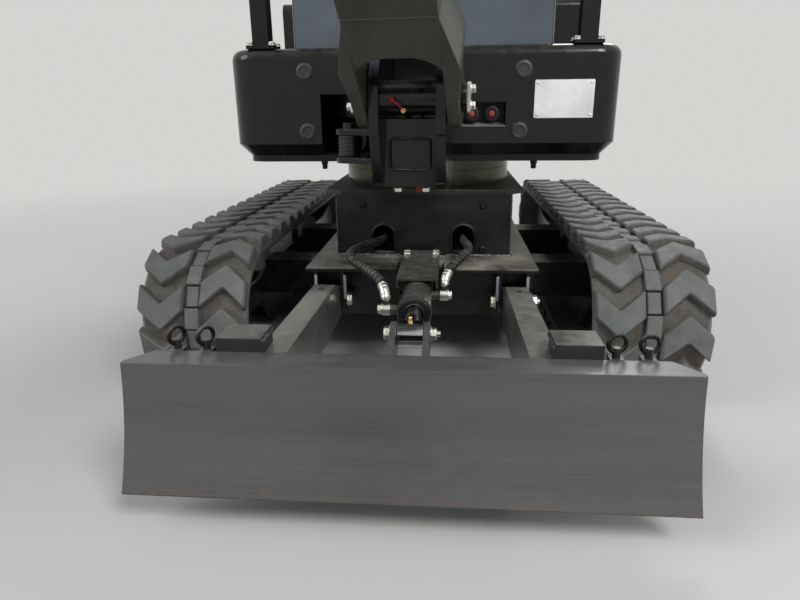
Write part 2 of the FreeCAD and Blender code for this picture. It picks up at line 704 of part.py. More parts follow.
def centre_frame_shape():
    wide = size.frame_half_width
    back = -size.frame_front
    lower = block(-wide, wide, back, size.frame_front, size.frame_bottom, size.frame_top)
    opening = size.cross_beam / 2 + size.slide_gap
    for forward in (size.beam_forward, -size.beam_back):
        lower = lower.cut(block(-wide - 1, wide + 1, forward - opening, forward + opening,
                                beam_level() - opening, beam_level() + opening))
    cavity = block(-wide + 60, wide - 60, -size.beam_back + opening + 10, size.beam_forward - opening - 10,
                   size.frame_bottom - 1, size.frame_top - 10)
    lower = lower.cut(cavity)
    base = block(-wide - 5, wide + 5, back, size.frame_front + size.base_overhang, size.frame_top, base_top)
    box = block(-size.box_half_width, size.box_half_width, -size.box_front, size.box_front, base_top, box_top)
    room = block(-size.box_half_width + size.box_wall, size.box_half_width - size.box_wall,
                 -size.box_front + size.box_wall, size.box_front - size.box_wall, base_top, box_top)
    box = box.cut(room)
    for side in (-1, 1):
        box = box.cut(arch_cut(side * size.arch_spread))
    half = size.top_plate_half
    front = size.top_plate_front
    cut = size.top_plate_corner
    octagon = [(-half, -front + cut), (-half + cut, -front), (half - cut, -front), (half, -front + cut),
               (half, front - cut), (half - cut, front), (-half + cut, front), (-half, front - cut)]
    top = level_plate(octagon, box_top, ring_bottom)
    frame = joined([lower, base, box, top])
    frame = frame.cut(block(-60, 60, size.box_front + 12, size.frame_front + size.base_overhang + 1,
                            blade_base[1] - 70, base_top + 1))
    lugs = []
    for middle in (size.arm_spread,):
        for offset in (-1, 1):
            x = middle + offset * (size.arm_bar / 2 + size.side_gap + 2 + size.lug_plate / 2)
            lugs.append(lug_shape(x))
    lugs.append(across(arm_pivot, size.arm_pin, size.arm_spread - 46, size.arm_spread + 50))
    hinge = []
    x = size.blade_barrel + size.side_gap
    outline = [(size.frame_front, blade_base[1] - 60), (size.frame_front - 65, blade_base[1] - 60),
               (size.frame_front - 65, blade_base[1] + 22), (size.frame_front - 10, blade_base[1] + 22, 20)]
    hinge.append(side_plate(outline, x, 61))
    pin = across(blade_base, size.work_pin, -x - 1, x + 1)
    pieces = [frame, pin]
    for shape in lugs + hinge:
        pieces += both_sides(shape)
    return joined(pieces)


def lug_shape(x):
    """One plate that holds a blade arm, under the base plate's overhang."""
    half = size.lug_plate / 2
    front = size.frame_front + size.base_overhang
    outline = [(size.frame_front - 1, size.frame_top + 1), (size.frame_front - 1, arm_pivot[1] - 30),
               (front - 4, arm_pivot[1] - 30, 24), (front - 4, size.frame_top + 1)]
    return side_plate(outline, x - half, x + half)


def blade_face_curves():
    """The blade's profile: flat lip, bend, hollow face and lower edge, one plate thick."""
    bend = size.blade_forward
    edge = bend + size.blade_rake
    middle = (bend + edge) / 2 - size.blade_hollow
    half_way = (blade_top + size.blade_clear) / 2
    wall = size.blade_plate
    lip = bend - size.blade_lip
    outer = [Vector(lip, blade_top, 0), Vector(bend, blade_top, 0), Vector(middle, half_way, 0),
             Vector(edge, size.blade_clear, 0)]
    inner = [Vector(edge - wall, size.blade_clear, 0), Vector(middle - wall, half_way, 0),
             Vector(bend - wall, blade_top - wall, 0), Vector(lip, blade_top - wall, 0)]
    return [Part.LineSegment(outer[0], outer[1]), Part.Arc(outer[1], outer[2], outer[3]),
            Part.LineSegment(outer[3], inner[0]), Part.Arc(inner[0], inner[1], inner[2]),
            Part.LineSegment(inner[2], inner[3]), Part.LineSegment(inner[3], outer[0])]


def blade_shape():
    """Dozer blade with its back beam, clevis and two bracket pieces."""
    half = size.blade_width / 2
    plate = face_of(blade_face_curves(), SIDE_VIEW)
    plate.translate(Vector(-half, 0, 0))
    plate = plate.extrude(Vector(size.blade_width, 0, 0))
    lip = size.blade_forward - size.blade_lip
    corner = [(half + 1, lip - 1), (half - 36, lip - 1), (half + 1, lip + size.blade_lip - 10)]
    for piece in both_sides(level_plate(corner, blade_top - 30, blade_top + 1)):
        plate = plate.cut(piece)
    back = size.blade_forward - 67
    beam_top = blade_top - 67
    outline = [(back, beam_top - 85), (size.blade_forward + 25, beam_top - 85),
               (size.blade_forward + 5, beam_top), (back, beam_top)]
    beam = side_plate(outline, -half + 40, half - 40)
    inside = size.blade_rod + 8.5
    ear = [(back + 4, beam_top - 60), (back + 4, beam_top + 50, 10),
           (blade_eye[0] - 28, blade_eye[1] + 28, 27),
           (blade_eye[0] - 28, blade_eye[1] - 28, 27)]
    pieces = [plate, beam] + both_sides(side_plate(ear, inside, inside + size.eye_lug))
    return joined(pieces)


def blade_arms_shape():
    """Two bars from the pivots to the blade, each with a slot through its far end."""
    half = size.arm_bar / 2
    x, z = arm_pivot
    back = size.blade_forward - 67
    outline = [(x - 35, z - 32, 30), (x - 35, z + 32, 30), (x + 15, z + 38, 10), (x + 76, z + 62, 10),
               (back, blade_top - 8), (back, blade_top - 118), (x + 80, z - 45, 20)]
    bar = side_plate(outline, size.arm_spread - half, size.arm_spread + half)
    bar = bar.cut(across(arm_pivot, size.arm_pin + size.fit_gap, size.arm_spread - half - 1,
                         size.arm_spread + half + 1))
    slot = [(size.arm_spread - 8, x + 100, 7.9), (size.arm_spread + 8, x + 100, 7.9),
            (size.arm_spread + 8, x + 128, 7.9), (size.arm_spread - 8, x + 128, 7.9)]
    bar = bar.cut(level_plate(slot, z + 40, z + 80))
    return both_sides(bar)


def bracket_shapes():
    """Channel brackets on the blade arms and the stems of the ring-handled pins."""
    back = size.blade_forward - size.blade_lip
    top = blade_top + 25
    arm_top = blade_top - 8
    near = size.bracket_inner
    far = near + size.bracket_width
    channel = joined([block(near, far, back - 70, back, top - 8, top),
                      block(near, near + 8, back - 70, back, arm_top + size.fit_gap, top),
                      block(near, far, back - 8, back, blade_top - 10, top)])
    pins = []
    for x in (354, 407):
        stem = upright(x, back - 16, 7, blade_top - 10, top - 9)
        foot_block = block(x - 12, x + 12, back - 28, back, blade_top - 12, blade_top - 2)
        pins.append(joined([stem, foot_block]))
    shapes = []
    for shape in [channel] + pins:
        shapes += both_sides(shape)
    return shapes


def barrel_shape(base, aim, radius, rod, gland, eye_half, base_radius, pin):
    """A cylinder's barrel in the side view: eye, neck, tube with its bore, and gland ring."""
    angle = heading(base, aim)

    def along(reach):
        return place(0, *turned(base, angle, reach, 0))

    neck_end = base_radius + 10
    neck = bar_between(along(0), along(neck_end + 1), min(base_radius, eye_half, radius) - 3)
    tube = bar_between(along(neck_end), along(gland), radius)
    collar = bar_between(along(gland - 26), along(gland), radius + 3)
    eye = across(base, base_radius, -eye_half, eye_half)
    whole = joined([neck, tube, collar, eye])
    bore = rod + size.fit_gap + size.rod_gap
    hole = bar_between(along(base_radius + 14), along(gland + 5), bore)
    return whole.cut(hole).cut(across(base, pin + size.fit_gap, -eye_half - 1, eye_half + 1))


def rod_shape(base, eye_point, rod, shortest, eye_half, eye_radius):
    """A cylinder's rod with its closed eye; it still clears the barrel's bottom when shortest."""
    angle = heading(eye_point, base)
    inner = turned(eye_point, angle, shortest - eye_radius - 45, 0)
    bar = bar_between(place(0, *eye_point), place(0, *inner), rod)
    return joined([bar, across(eye_point, eye_radius, -eye_half, eye_half)])


def span_range(base, eye_point, pivot, turns):
    """Shortest and longest length of a cylinder whose eye turns about a pivot."""
    spans = [distance(base, swung(eye_point, pivot, turn)) for turn in turns]
    return min(spans), max(spans)


def blade_cylinder():
    shortest = span_range(blade_base, blade_eye, arm_pivot, (-BLADE_LOWER, 0, BLADE_RAISE))[0]
    barrel = barrel_shape(blade_base, blade_eye, size.blade_barrel, size.blade_rod, size.blade_gland,
                          size.blade_barrel, size.blade_barrel - 5, size.work_pin)
    ports = []
    for side, along in ((-1, size.blade_gland - 22), (1, size.blade_gland - 130)):
        spot = turned(blade_base, heading(blade_base, blade_eye), along, 0)
        ports.append(across(spot, 10, min(0, side * 52), max(0, side * 52)).cut(
            across(spot, size.blade_rod + 3, -30, 30)))
    angle = heading(blade_base, blade_eye)
    bore = bar_between(place(0, *turned(blade_base, angle, size.blade_bore, 0)),
                       place(0, *turned(blade_base, angle, size.blade_gland + 5, 0)),
                       size.blade_rod + size.fit_gap + size.rod_gap)
    feature("blade_cylinder_barrel", joined([barrel] + ports).cut(bore))
    feature("blade_cylinder_rod", rod_shape(blade_base, blade_eye, size.blade_rod, shortest,
                                            size.blade_rod + 7, size.blade_rod + 8))
    start = blade_base[0] - 6
    folds_from = size.frame_front + size.base_overhang
    top = blade_base[1] + size.blade_barrel + 4
    half = size.guard_half
    sheet = block(-half, half, start, start + size.guard_length, top, top + size.sheet_wall)
    folds_to = start + size.guard_length
    folds = both_sides(block(half - size.sheet_wall, half, folds_from, folds_to, top - 18, top))
    folds.append(block(-12, 12, folds_from + 20, folds_from + 60, top - 2.6, top))
    feature("blade_cylinder_guard", joined([sheet] + folds))


def cord_solid(points, radius):
    """A hose of straight runs and tangent arcs through its chosen points."""
    edges = []
    start = points[0]
    for index in range(1, len(points) - 1):
        here = points[index]
        before = points[index - 1].sub(here)
        after = points[index + 1].sub(here)
        half = before.getAngle(after) / 2
        reach = 0.45 * min(before.Length, after.Length)
        bend = reach * math.tan(half)
        before.normalize()
        after.normalize()
        middle = here + before.add(after).normalize() * (bend / math.sin(half) - bend)
        into = here + before * reach
        out = here + after * reach
        edges.append(Part.LineSegment(start, into).toShape())
        edges.append(Part.Arc(into, middle, out).toShape())
        start = out
        print("hose radius %.0f" % bend)
    edges.append(Part.LineSegment(start, points[-1]).toShape())
    path = Part.Wire(edges)
    first = points[1].sub(points[0])
    ring = Part.Wire([Part.makeCircle(radius, points[0], first)])
    return path.makePipeShell([ring], True, False)


# x, forward, height of each point of the two hoses, from the banjo fitting to inside the box
LEFT_HOSE = ((-61.3, 728, 268), (-61.3, 728, 300), (-78, 690, 322), (-118, 630, 330), (-160, 565, 334),
             (-176, 500, 336), (-160, 435, 336), (-128, 380, 335), (-110, 330, 333), (-108, 280, 331))
RIGHT_HOSE = ((61.3, 620, 268), (61.3, 620, 298), (74, 590, 322), (98, 545, 336), (118, 490, 338),
              (124, 430, 338), (114, 375, 336), (110, 325, 333), (109, 280, 331))


def hose(label, points):
    feature(label, cord_solid([place(*point) for point in points], size.hose_radius))


def slew_rings():
    half = (size.ring_height - size.ring_split) / 2
    for label, bottom in (("slew_ring_lower", ring_bottom), ("slew_ring_upper", deck_bottom - half)):
        outer = doc.addObject("Part::Cylinder", label + "_outer")
        inner = doc.addObject("Part::Cylinder", label + "_bore")
        bind(outer, "Radius", "ring_radius")
        bind(inner, "Radius", "ring_bore")
        for item in (outer, inner):
            bind(item, "Height", "(ring_height - ring_split) / 2")
            item.Placement.Base = Vector(0, 0, bottom)
        ring = doc.addObject("Part::Cut", label)
        ring.Base = outer
        ring.Tool = inner
        ring.Label = label
        subparts.append(ring)


# Upper machine

def plan_outline(inset, front, back):
    """Plan of the upper machine between two forward places, rounded at the front corners."""
    half = size.deck_half_width - inset
    corner = size.deck_corner - inset
    return [(-half, front - inset, corner), (half, front - inset, corner), (half, back), (-half, back)]


def deck_shape():
    """Bottom plate of the upper frame, with the nose that carries the kingpin."""
    half = size.deck_half_width - size.deck_cut
    outline = [(-half, size.deck_front - size.deck_cut, size.deck_corner - 20),
               (half, size.deck_front - size.deck_cut, size.deck_corner - 20),
               (half, -size.weight_front + 0.3), (-half, -size.weight_front + 0.3)]
    plate = level_plate(outline, deck_bottom, deck_top)
    king = size.kingpin_forward
    reach = size.knuckle_radius
    low = size.knuckle_low + size.side_gap
    high = size.knuckle_high - size.side_gap
    nose = [(-reach - 5, 250), (-reach - 5, king - 60), (-reach, king), (-reach, king + reach, reach * 0.99),
            (reach, king + reach, reach * 0.99), (reach, king), (reach + 5, king - 60), (reach + 5, 250)]
    nose = level_plate(nose, low, high)
    web = block(-reach, reach, size.deck_front - size.nose_depth + 2, 380, deck_bottom, high)
    pin = upright(0, king, size.kingpin_radius, size.post_bottom + 4, 711)
    saddle = upright(swing_base[0], swing_base[1], 30, deck_top,
                     size.swing_height - size.swing_eye_height / 2 - size.side_gap)
    stud = upright(swing_base[0], swing_base[1], size.work_pin, deck_top, size.swing_height + 25)
    return joined([plate, nose, web, pin, saddle, stud])


def nose_panel_shape():
    """Front panel with its rounded top, its chamfered foot, the rod's opening and the recess."""
    front = size.deck_front
    back = front - size.nose_depth
    wall = size.panel_wall
    seat = deck_top + size.fit_gap
    outer = nose_block(0, seat, size.nose_top, front, back)
    inner = nose_block(wall, seat + wall / 2, size.nose_top - wall, front, back - 20)
    reach = size.deck_half_width - size.panel_rim
    floor = block(-reach, reach, back - 20, front - size.panel_rim, seat - 1, seat + wall)
    shell = outer.cut(inner).cut(floor)
    rod_clear = size.swing_height - size.swing_barrel - 6
    opening = block(-245, -70, front - 60, front + 10, rod_clear, 712)
    middle = block(-size.knuckle_radius - 14, size.knuckle_radius + 14, front - 60, front + 10,
                   deck_top - 1, size.knuckle_high + 12)
    recess = block(92, 202, front - 45, front + 10, 634, 690)
    return shell.cut(opening).cut(middle).cut(recess)


def nose_block(inset, bottom, top, front, back):
    """A rounded block: upright corners, rounded top edge and chamfered foot, as a stack of rings."""
    solid = level_plate(plan_outline(inset, front, back), bottom, top)
    rounding = size.nose_rounding - inset / 2
    edges = [edge for edge in solid.Edges if on_rim(edge, top, back)]
    solid = solid.makeFillet(rounding, edges)
    edges = [edge for edge in solid.Edges if on_rim(edge, bottom, back)]
    return solid.makeChamfer(size.deck_cut, edges)


def on_rim(edge, height, back):
    """True for an edge of the rim at one height, leaving out the one along the back."""
    box = edge.BoundBox
    level = abs(box.ZMin - height) < 0.01 and abs(box.ZMax - height) < 0.01
    along_back = abs(box.YMin + back) < 0.01 and abs(box.YMax + back) < 0.01
    return level and not along_back


def recess_shape():
    """Pan behind the recess in the front panel, with its two couplings."""
    front = size.deck_front - size.panel_wall - 0.3
    pan = block(88, 206, front - 40, front, 628, 696).cut(block(92, 202, front - 36, front + 1, 634, 690))
    pieces = [pan]
    for x in (122, 170):
        pieces.append(fore_aft(x, 664, 15, front - 37, front - 12))
    return joined(pieces)


def floor_shape():
    """Operator's floor and the riser behind the front housing."""
    half = size.deck_half_width - size.sheet_wall
    riser = size.deck_front - size.nose_depth
    wall = size.sheet_wall
    floor = block(-half, half, -size.hood_front + 0.3, riser, floor_top - wall, floor_top)
    face = block(-half, half, riser - wall, riser - 0.3, floor_top - wall, size.nose_top - 30)
    return joined([floor, face])


def skirt_shapes():
    """Side panels below the floor, left and right."""
    half = size.deck_half_width
    riser = size.deck_front - size.nose_depth
    panel = [(half - size.deck_cut, deck_top), (half, deck_top + size.deck_cut), (half, floor_top),
             (half - size.sheet_wall + 0.3, floor_top),
             (half - size.sheet_wall + 0.3, deck_top + size.deck_cut + 2),
             (half - size.deck_cut - size.sheet_wall, deck_top + 2),
             (half - size.deck_cut - size.sheet_wall, deck_top)]
    return front_plate(panel, -size.hood_front + 0.3, riser - 0.3)


def hood_outline():
    front = -size.hood_front
    step = -size.hood_step
    back = -size.hood_back
    behind = -size.weight_front + size.fit_gap
    return [(front, deck_top), (front, seat_top, 30), (step, seat_top, 12),
            (step - 25, hood_top, 30), (back + 25, hood_top, 45),
            (back, seat_top - 30, 60), (back, size.weight_top + size.fit_gap),
            (behind, size.weight_top + size.fit_gap), (behind, deck_top)]


def hood_shape():
    """Seat box and engine hood, one shell open to the deck, with louvres in its sides."""
    wall = size.sheet_wall
    half = size.deck_half_width
    outline = hood_outline()
    walls = [wall] * len(outline)
    walls[-1] = -1
    room = side_plate(inset(outline, walls), -half + wall, half - wall)
    shell = side_plate(outline, -half, half).cut(room)
    for count in range(int(size.louvres)):
        level = floor_top + size.louvre_rise + size.louvre_step * count
        slot = block(-half - 5, half + 5, -size.louvre_back, -size.louvre_front,
                     level, level + size.louvre_gap)
        shell = shell.cut(slot)
    return shell


def counterweight():
    """Rear casting: an arc about the slew axis, as wide as the upper machine."""
    half = size.deck_half_width
    depth = math.sqrt(size.tail_radius ** 2 - half ** 2)
    body = PlateBody("counterweight")
    start = Vector(-half, size.weight_front, 0)
    curves = [Part.LineSegment(start, Vector(half, size.weight_front, 0)),
              Part.LineSegment(Vector(half, size.weight_front, 0), Vector(half, depth, 0)),
              Part.Arc(Vector(half, depth, 0), Vector(0, size.tail_radius, 0), Vector(-half, depth, 0)),
              Part.LineSegment(Vector(-half, depth, 0), start)]
    middle = (deck_bottom + size.weight_top) / 2
    body.solid("Pad", "XY_Plane", curves, middle,
               "weight_top - (frame_top + base_plate + box_height + top_plate + ring_height)")


def plain_box(label, corner, sizes):
    """A box whose three sides are formulas of the sheet."""
    item = doc.addObject("Part::Box", label)
    item.Label = label
    for field, formula in zip(("Length", "Width", "Height"), sizes):
        bind(item, field, formula)
    item.Placement.Base = corner
    return item


def rounded_box(label, corner, sizes, radius):
    """The same with every edge rounded."""
    core = plain_box(label + "_core", corner, sizes)
    doc.recompute()
    item = doc.addObject("Part::Fillet", label)
    item.Base = core
    item.Edges = [(count + 1, radius, radius) for count in range(len(core.Shape.Edges))]
    item.Label = label
    subparts.append(item)


def engine_and_seat():
    engine_low = deck_top
    corner = Vector(-size.engine_length / 2, size.hood_front + 60, engine_low)
    subparts.append(plain_box("engine_block", corner, ("engine_length", "engine_depth", "engine_height")))
    top = seat_top
    front = size.hood_front + 10
    rounded_box("seat_cushion", Vector(-size.seat_width / 2, front, top + 0.3),
                ("seat_width", "seat_depth", "cushion_thickness"), 30)
    back = front + size.seat_depth - size.backrest_thickness - 30
    rounded_box("seat_backrest", Vector(-size.seat_width / 2, back, top + size.cushion_thickness + 0.6),
                ("seat_width", "backrest_thickness", "backrest_height"), 30)


def consoles_shape():
    """Two side consoles with a control lever on each."""
    top = seat_top
    x = size.seat_width / 2 + 15
    outline = [(-size.hood_front - 12, top + 0.0), (-size.hood_front - 12, top + size.console_height, 30),
               (-size.hood_step + 60, top + size.console_height - 40, 20), (-size.hood_step + 60, top)]
    box = side_plate(outline, x, x + size.console_width)
    middle = x + size.console_width / 2
    console_top = top + size.console_height
    stick = upright(middle, -size.hood_front - 60, 9, console_top - 12, console_top + 110)
    grip = upright(middle, -size.hood_front - 60, 20, console_top + 70, console_top + 190)
    return both_sides(joined([box, stick, grip]))


def travel_levers_shape():
    """Two travel levers and two pedals on the floor, behind the front housing."""
    z = floor_top
    forward = size.deck_front - size.nose_depth - size.lever_gap
    top = z + size.lever_rise
    rod = bar_between(place(45, forward, z + 10), place(60, forward - 60, top), 8)
    grip = bar_between(place(60, forward - 60, top - 10), place(63, forward - 72, top + 100), 15)
    pedal = block(20, 80, forward - 90, forward + 12, z + size.fit_gap, z + 22)
    return both_sides(joined([rod, grip, pedal]))


def canopy_posts_shape():
    half = size.post_side / 2
    x = size.post_spread
    front = size.post_forward
    rear = -size.post_back
    front_post = block(x - half, x + half, front - half, front + half, size.nose_top, size.roof_under)
    rear_post = block(x - half, x + half, rear - half, rear + half, hood_top + 0.3, size.roof_under)
    top = size.roof_under
    low = top - size.post_side
    rail = block(x - half, x + half, rear + half, front - half, low, top)
    cross = block(-x + half, x - half, front - half, front + half, low, top)
    rear_cross = block(-x + half, x - half, rear - half, rear + half, low, top)
    foot_plate = block(x - 34, x + 34, front - 34, front + 34 - 6, size.nose_top, size.nose_top + 8)
    return joined(both_sides(joined([front_post, rear_post, rail, foot_plate])) + [cross, rear_cross])


def canopy_roof():
    body = PlateBody("canopy_roof")
    half = size.roof_half_width
    points = [(-half, -size.roof_front, 60), (half, -size.roof_front, 60), (half, size.roof_back, 60),
              (-half, size.roof_back, 60)]
    body.pad("XY_Plane", points, size.roof_under + size.roof_thickness / 2, "roof_thickness")


def shield_shape():
    """Folded sheet standing on the front housing between the canopy posts."""
    half = size.shield_half_width
    wall = size.sheet_wall
    front = size.post_forward + 10
    fold = front - size.shield_fold
    outline = [(-half, fold), (-half, front, 12), (half, front, 12), (half, fold), (half - wall, fold),
               (half - wall, front - wall, 7), (-half + wall, front - wall, 7), (-half + wall, fold)]
    return level_plate(outline, size.nose_top, size.shield_top)


def lamps_shape():
    """Two work lamps under the roof's front edge."""
    lamps = []
    for side in (-1, 1):
        x = side * 300
        z = size.roof_under - 50
        body = fore_aft(x, z, 42, size.roof_front - 90, size.roof_front - 30)
        stem = upright(x, size.roof_front - 60, 8, z + 30, size.roof_under)
        lamps.append(joined([body, stem]))
    return lamps


# Swing post, boom, arm and bucket

def swing_post_shape():
    """Two cheeks round the kingpin's knuckles, the foot pin's boss and the swing cylinder's lug."""
    inside = size.cheek_inside
    outside = inside + size.cheek_plate
    king = size.kingpin_forward
    throat = king + 40
    outline = [(king - 34, size.post_bottom, 10), (foot[0] + 12, size.post_bottom, 30),
               (foot[0] + 44, size.post_bottom + 110, 40), (foot[0] + 44, foot[1] + 30, 44),
               (boom_base[0] + 50, boom_base[1] + 46, 40), (boom_base[0] - 42, boom_base[1] + 46, 40),
               (boom_base[0] - 42, boom_base[1] - 50, 20), (king - 34, size.knuckle_high + 60, 20),
               (king - 34, size.knuckle_high), (throat, size.knuckle_high, 8),
               (throat, size.knuckle_low, 8), (king - 34, size.knuckle_low)]
    cheeks = both_sides(side_plate(outline, inside, outside))
    low = upright(0, king, size.knuckle_radius, size.post_bottom, size.knuckle_low)
    high = upright(0, king, size.knuckle_radius, size.knuckle_high, size.knuckle_high + 50)
    low_bar = block(-inside, inside, king, king + 55, size.post_bottom, size.knuckle_low)
    high_bar = block(-inside, inside, king, king + 40, size.knuckle_high, size.knuckle_high + 50)
    hole = upright(0, king, size.kingpin_radius + size.fit_gap, size.post_bottom - 1, size.knuckle_high + 60)
    knuckles = joined([low, high, low_bar, high_bar]).cut(hole)
    web = block(-inside, inside, foot[0] - 10, foot[0] + 4, size.post_bottom + 6, foot[1] - 40)
    boss = across(foot, size.foot_boss, -inside, inside)
    pin = across(foot, size.foot_pin, -114, 114)
    heads = both_sides(across(foot, 28, outside + size.ear_plate + 6, outside + size.ear_plate + 14))
    base_pin = across(boom_base, size.work_pin, -inside, inside)
    half = size.swing_eye_height / 2 + 2
    lug = [(-outside + 4, throat + 4), (-outside + 4, throat + 44, 10),
           (swing_eye[0] - 28, swing_eye[1] + 36, 30),
           (swing_eye[0] - 28, swing_eye[1] - 28, 26), (swing_eye[0] + 30, swing_eye[1] - 28, 20)]
    low = size.swing_height - half
    high = size.swing_height + half
    lugs = [level_plate(lug, low - 12, low), level_plate(lug, high, high + 12),
            upright(swing_eye[0], swing_eye[1], 16, high + 12, high + 24)]
    return joined(cheeks + [knuckles, web, boss, pin, base_pin] + heads + lugs)


def swing_cylinder():
    start = Vector(swing_base[0], -swing_base[1], size.swing_height)
    eye = swung(swing_eye, kingpin, size.parked_swing)
    end = Vector(eye[0], -eye[1], size.swing_height)
    spans = span_range(swing_base, swing_eye, kingpin, (SWING_RIGHT, 0, -SWING_LEFT))
    run = end.sub(start).normalize()
    gland = spans[0] - 75
    tube = bar_between(start + run * 34, start + run * gland, size.swing_barrel)
    half = size.swing_eye_height / 2
    neck = bar_between(start, start + run * 36, half - 2)
    base_eye = upright(swing_base[0], swing_base[1], 28, size.swing_height - half, size.swing_height + half)
    hole = bar_between(start + run * 44, start + run * (gland + 5), size.swing_rod + size.fit_gap + 0.7)
    bore = upright(swing_base[0], swing_base[1], size.work_pin + size.fit_gap,
                   size.swing_height - half - 1, size.swing_height + half + 1)
    feature("swing_cylinder_barrel", joined([tube, neck, base_eye]).cut(hole).cut(bore))
    inner = end - run * (spans[0] - 75)
    rod_eye = upright(eye[0], eye[1], 26, size.swing_height - half, size.swing_height + half)
    feature("swing_cylinder_rod", joined([bar_between(end, inner, size.swing_rod), rod_eye]))


def boom_shape():
    """Cranked boom: foot ears, box with its knee, tip fork and the two cylinder brackets."""
    knee = (size.boom_knee_along, size.boom_knee_up)
    rise = heading((0, 0), knee)
    fall = heading(knee, (size.boom_length, 0))
    wide = size.boom_half_width
    length = size.boom_length

    def low(along, off):
        return turned((0, 0), rise, along, off)

    def high(back, off):
        return turned((length, 0), fall, -back, off)

    body = [low(105, -58), low(700, -98), (knee[0] + 30, knee[1] - 116), high(0, -58),
            high(-52, -40), high(-52, 40), high(0, 58), (knee[0] + 190, knee[1] + 66),
            (knee[0] - 10, knee[1] + 108),
            low(640, 92), low(200, 60)]
    body = with_radii(body, {1: 200, 4: 30, 5: 30, 7: 160, 8: 160})
    solid = side_plate(turned_outline(foot, size.boom_angle, body), -wide, wide)
    solid = solid.cut(boom_arch(rise))
    ear = [low(-56, -56), low(-56, 56), low(size.crease_along + 8, 61), low(size.crease_along + 8, -62),
           low(110, -62)]
    ear = with_radii(ear, {0: 55, 1: 55, 4: 60})
    ear = side_plate(turned_outline(foot, size.boom_angle, ear), 0, size.boom_half_width * 2)
    ear = ear.common(boom_ear(rise))
    inside = size.cheek_inside
    ear = ear.cut(across(foot, size.foot_pin + size.fit_gap, inside, size.boom_half_width * 2))
    slot = [high(190, -120), high(190, 160), high(-90, 160), high(-90, -120)]
    slot = side_plate(turned_outline(foot, size.boom_angle, slot), -size.arm_half_width - 15.5,
                      size.arm_half_width + 15.5)
    solid = solid.cut(slot)
    tip_pin = across(boom_tip, size.foot_pin, -wide - 6, wide + 6)
    pieces = [solid, tip_pin] + both_sides(ear)
    reach = size.eye_half_width + size.side_gap
    eye_lug = [(-34, 34, 33), (34, 34, 33), (150, -135), (-10, -135), (-34, -75)]
    pieces += lug_pair(boom_eye, size.boom_angle + rise, eye_lug)
    base_lug = [(-34, 34, 33), (34, 34, 33), (34, -50), (70, -150), (-130, -135), (-34, -20)]
    pieces += lug_pair(arm_base, size.boom_angle + fall, base_lug)
    reach = size.eye_half_width + size.side_gap
    pieces.append(across(arm_base, size.work_pin, -reach - 1, reach + 1))
    return joined(pieces)


def leaned(shape, rise):
    """A shape drawn level ahead of the origin, turned up to the boom's lower leg and set on the foot pin."""
    shape.rotate(Vector(0, 0, 0), Vector(1, 0, 0), -(size.boom_angle + rise))
    shape.translate(place(0, foot[0], foot[1]))
    return shape


def ear_inside():
    return size.cheek_inside + size.cheek_plate + size.side_gap * 2


def boom_arch(rise):
    """What the arch takes out of the box's foot, between the ears, drawn in (x, along)."""
    side = ear_inside()
    crown = size.arch_along
    points = [(-side, 60), (-side, crown - 26, 20), (-side / 2, crown, 60), (side / 2, crown, 60),
              (side, crown - 26, 20), (side, 60)]
    return leaned(level_plate(points, -150, 150), rise)


def boom_ear(rise):
    """A foot ear seen from the front, in (x, along): straight at its pin, flared, then run into the box."""
    inside = ear_inside()
    outside = inside + size.ear_plate
    crown = size.arch_along
    box = size.boom_half_width
    points = [(inside, -60), (inside, size.crease_along), (box, size.crease_along),
              (outside + size.ear_flare, crown - 30, 60), (outside, 50, 60), (outside, -60)]
    return leaned(level_plate(points, -150, 150), rise)


def with_radii(points, radii):
    return [tuple(p[:2]) + ((radii[i],) if i in radii else ()) for i, p in enumerate(points)]


def lug_pair(middle, angle, outline):
    """Two plates beside a cylinder's eye, from an outline about that eye."""
    reach = size.eye_half_width + size.side_gap
    return both_sides(side_plate(turned_outline(middle, angle, outline), reach, reach + size.eye_lug))


def arm_shape():
    """Arm with its rear horn, the bucket cylinder's bracket and the nose for the bucket pin."""
    wide = size.arm_half_width
    reach = size.eye_half_width + size.side_gap
    length = size.arm_length
    horn = turned((0, 0), size.horn_angle, size.horn_length, 0)
    body = [(-58, -40, 40), (-58, 70, 40), (120, 88, 100), (length - 90, 52, 60), (length + 46, 46, 44),
            (length + 46, -46, 44), (length - 120, -48, 60), (140, -66, 100), (0, -66, 50)]
    solid = side_plate(turned_outline(boom_tip, size.arm_angle, body), -wide, wide)
    boss = across(boom_tip, 60, -size.arm_half_width - 14, size.arm_half_width + 14)
    plate = [(horn[0] - 34, horn[1] - 34, 32), (horn[0] - 34, horn[1] + 34, 32), (-40, 100, 30), (60, 80),
             (60, -40), (-50, -50, 20)]
    plate = side_plate(turned_outline(boom_tip, size.arm_angle, plate), reach, reach + size.eye_lug)
    base = [(-32, 32, 30), (34, 32, 30), (34, -45), (60, -95), (-90, -95), (-32, -30)]
    rocker_boss = across(rocker_pin, size.work_pin, -82, 82)
    spacer = across(rocker_pin, 28, -62, 62)
    base_pin = across(bucket_base, size.work_pin, -reach - 1, reach + 1)
    whole = joined([solid, boss, rocker_boss, spacer, base_pin] + both_sides(plate)
                   + lug_pair(bucket_base, size.arm_angle, base))
    whole = whole.cut(across(boom_tip, size.foot_pin + size.fit_gap, -100, 100))
    return whole.cut(across(bucket_pin, size.work_pin + 4 + size.fit_gap, -100, 100))


def rocker_shapes():
    """Two plates from the arm to the linkage pin, outside the bucket link."""
    span = size.rocker_length
    angle = heading(rocker_pin, linkage_pin)
    outline = [(-28, -28, 27), (span + 26, -26, 25), (span + 26, 26, 25), (-28, 28, 27)]
    plate = side_plate(turned_outline(rocker_pin, angle, outline), 64, 76)
    plate = plate.cut(across(rocker_pin, size.work_pin + size.fit_gap, 60, 80))
    return both_sides(joined([plate, across(linkage_pin, 20, 62, 78)]))


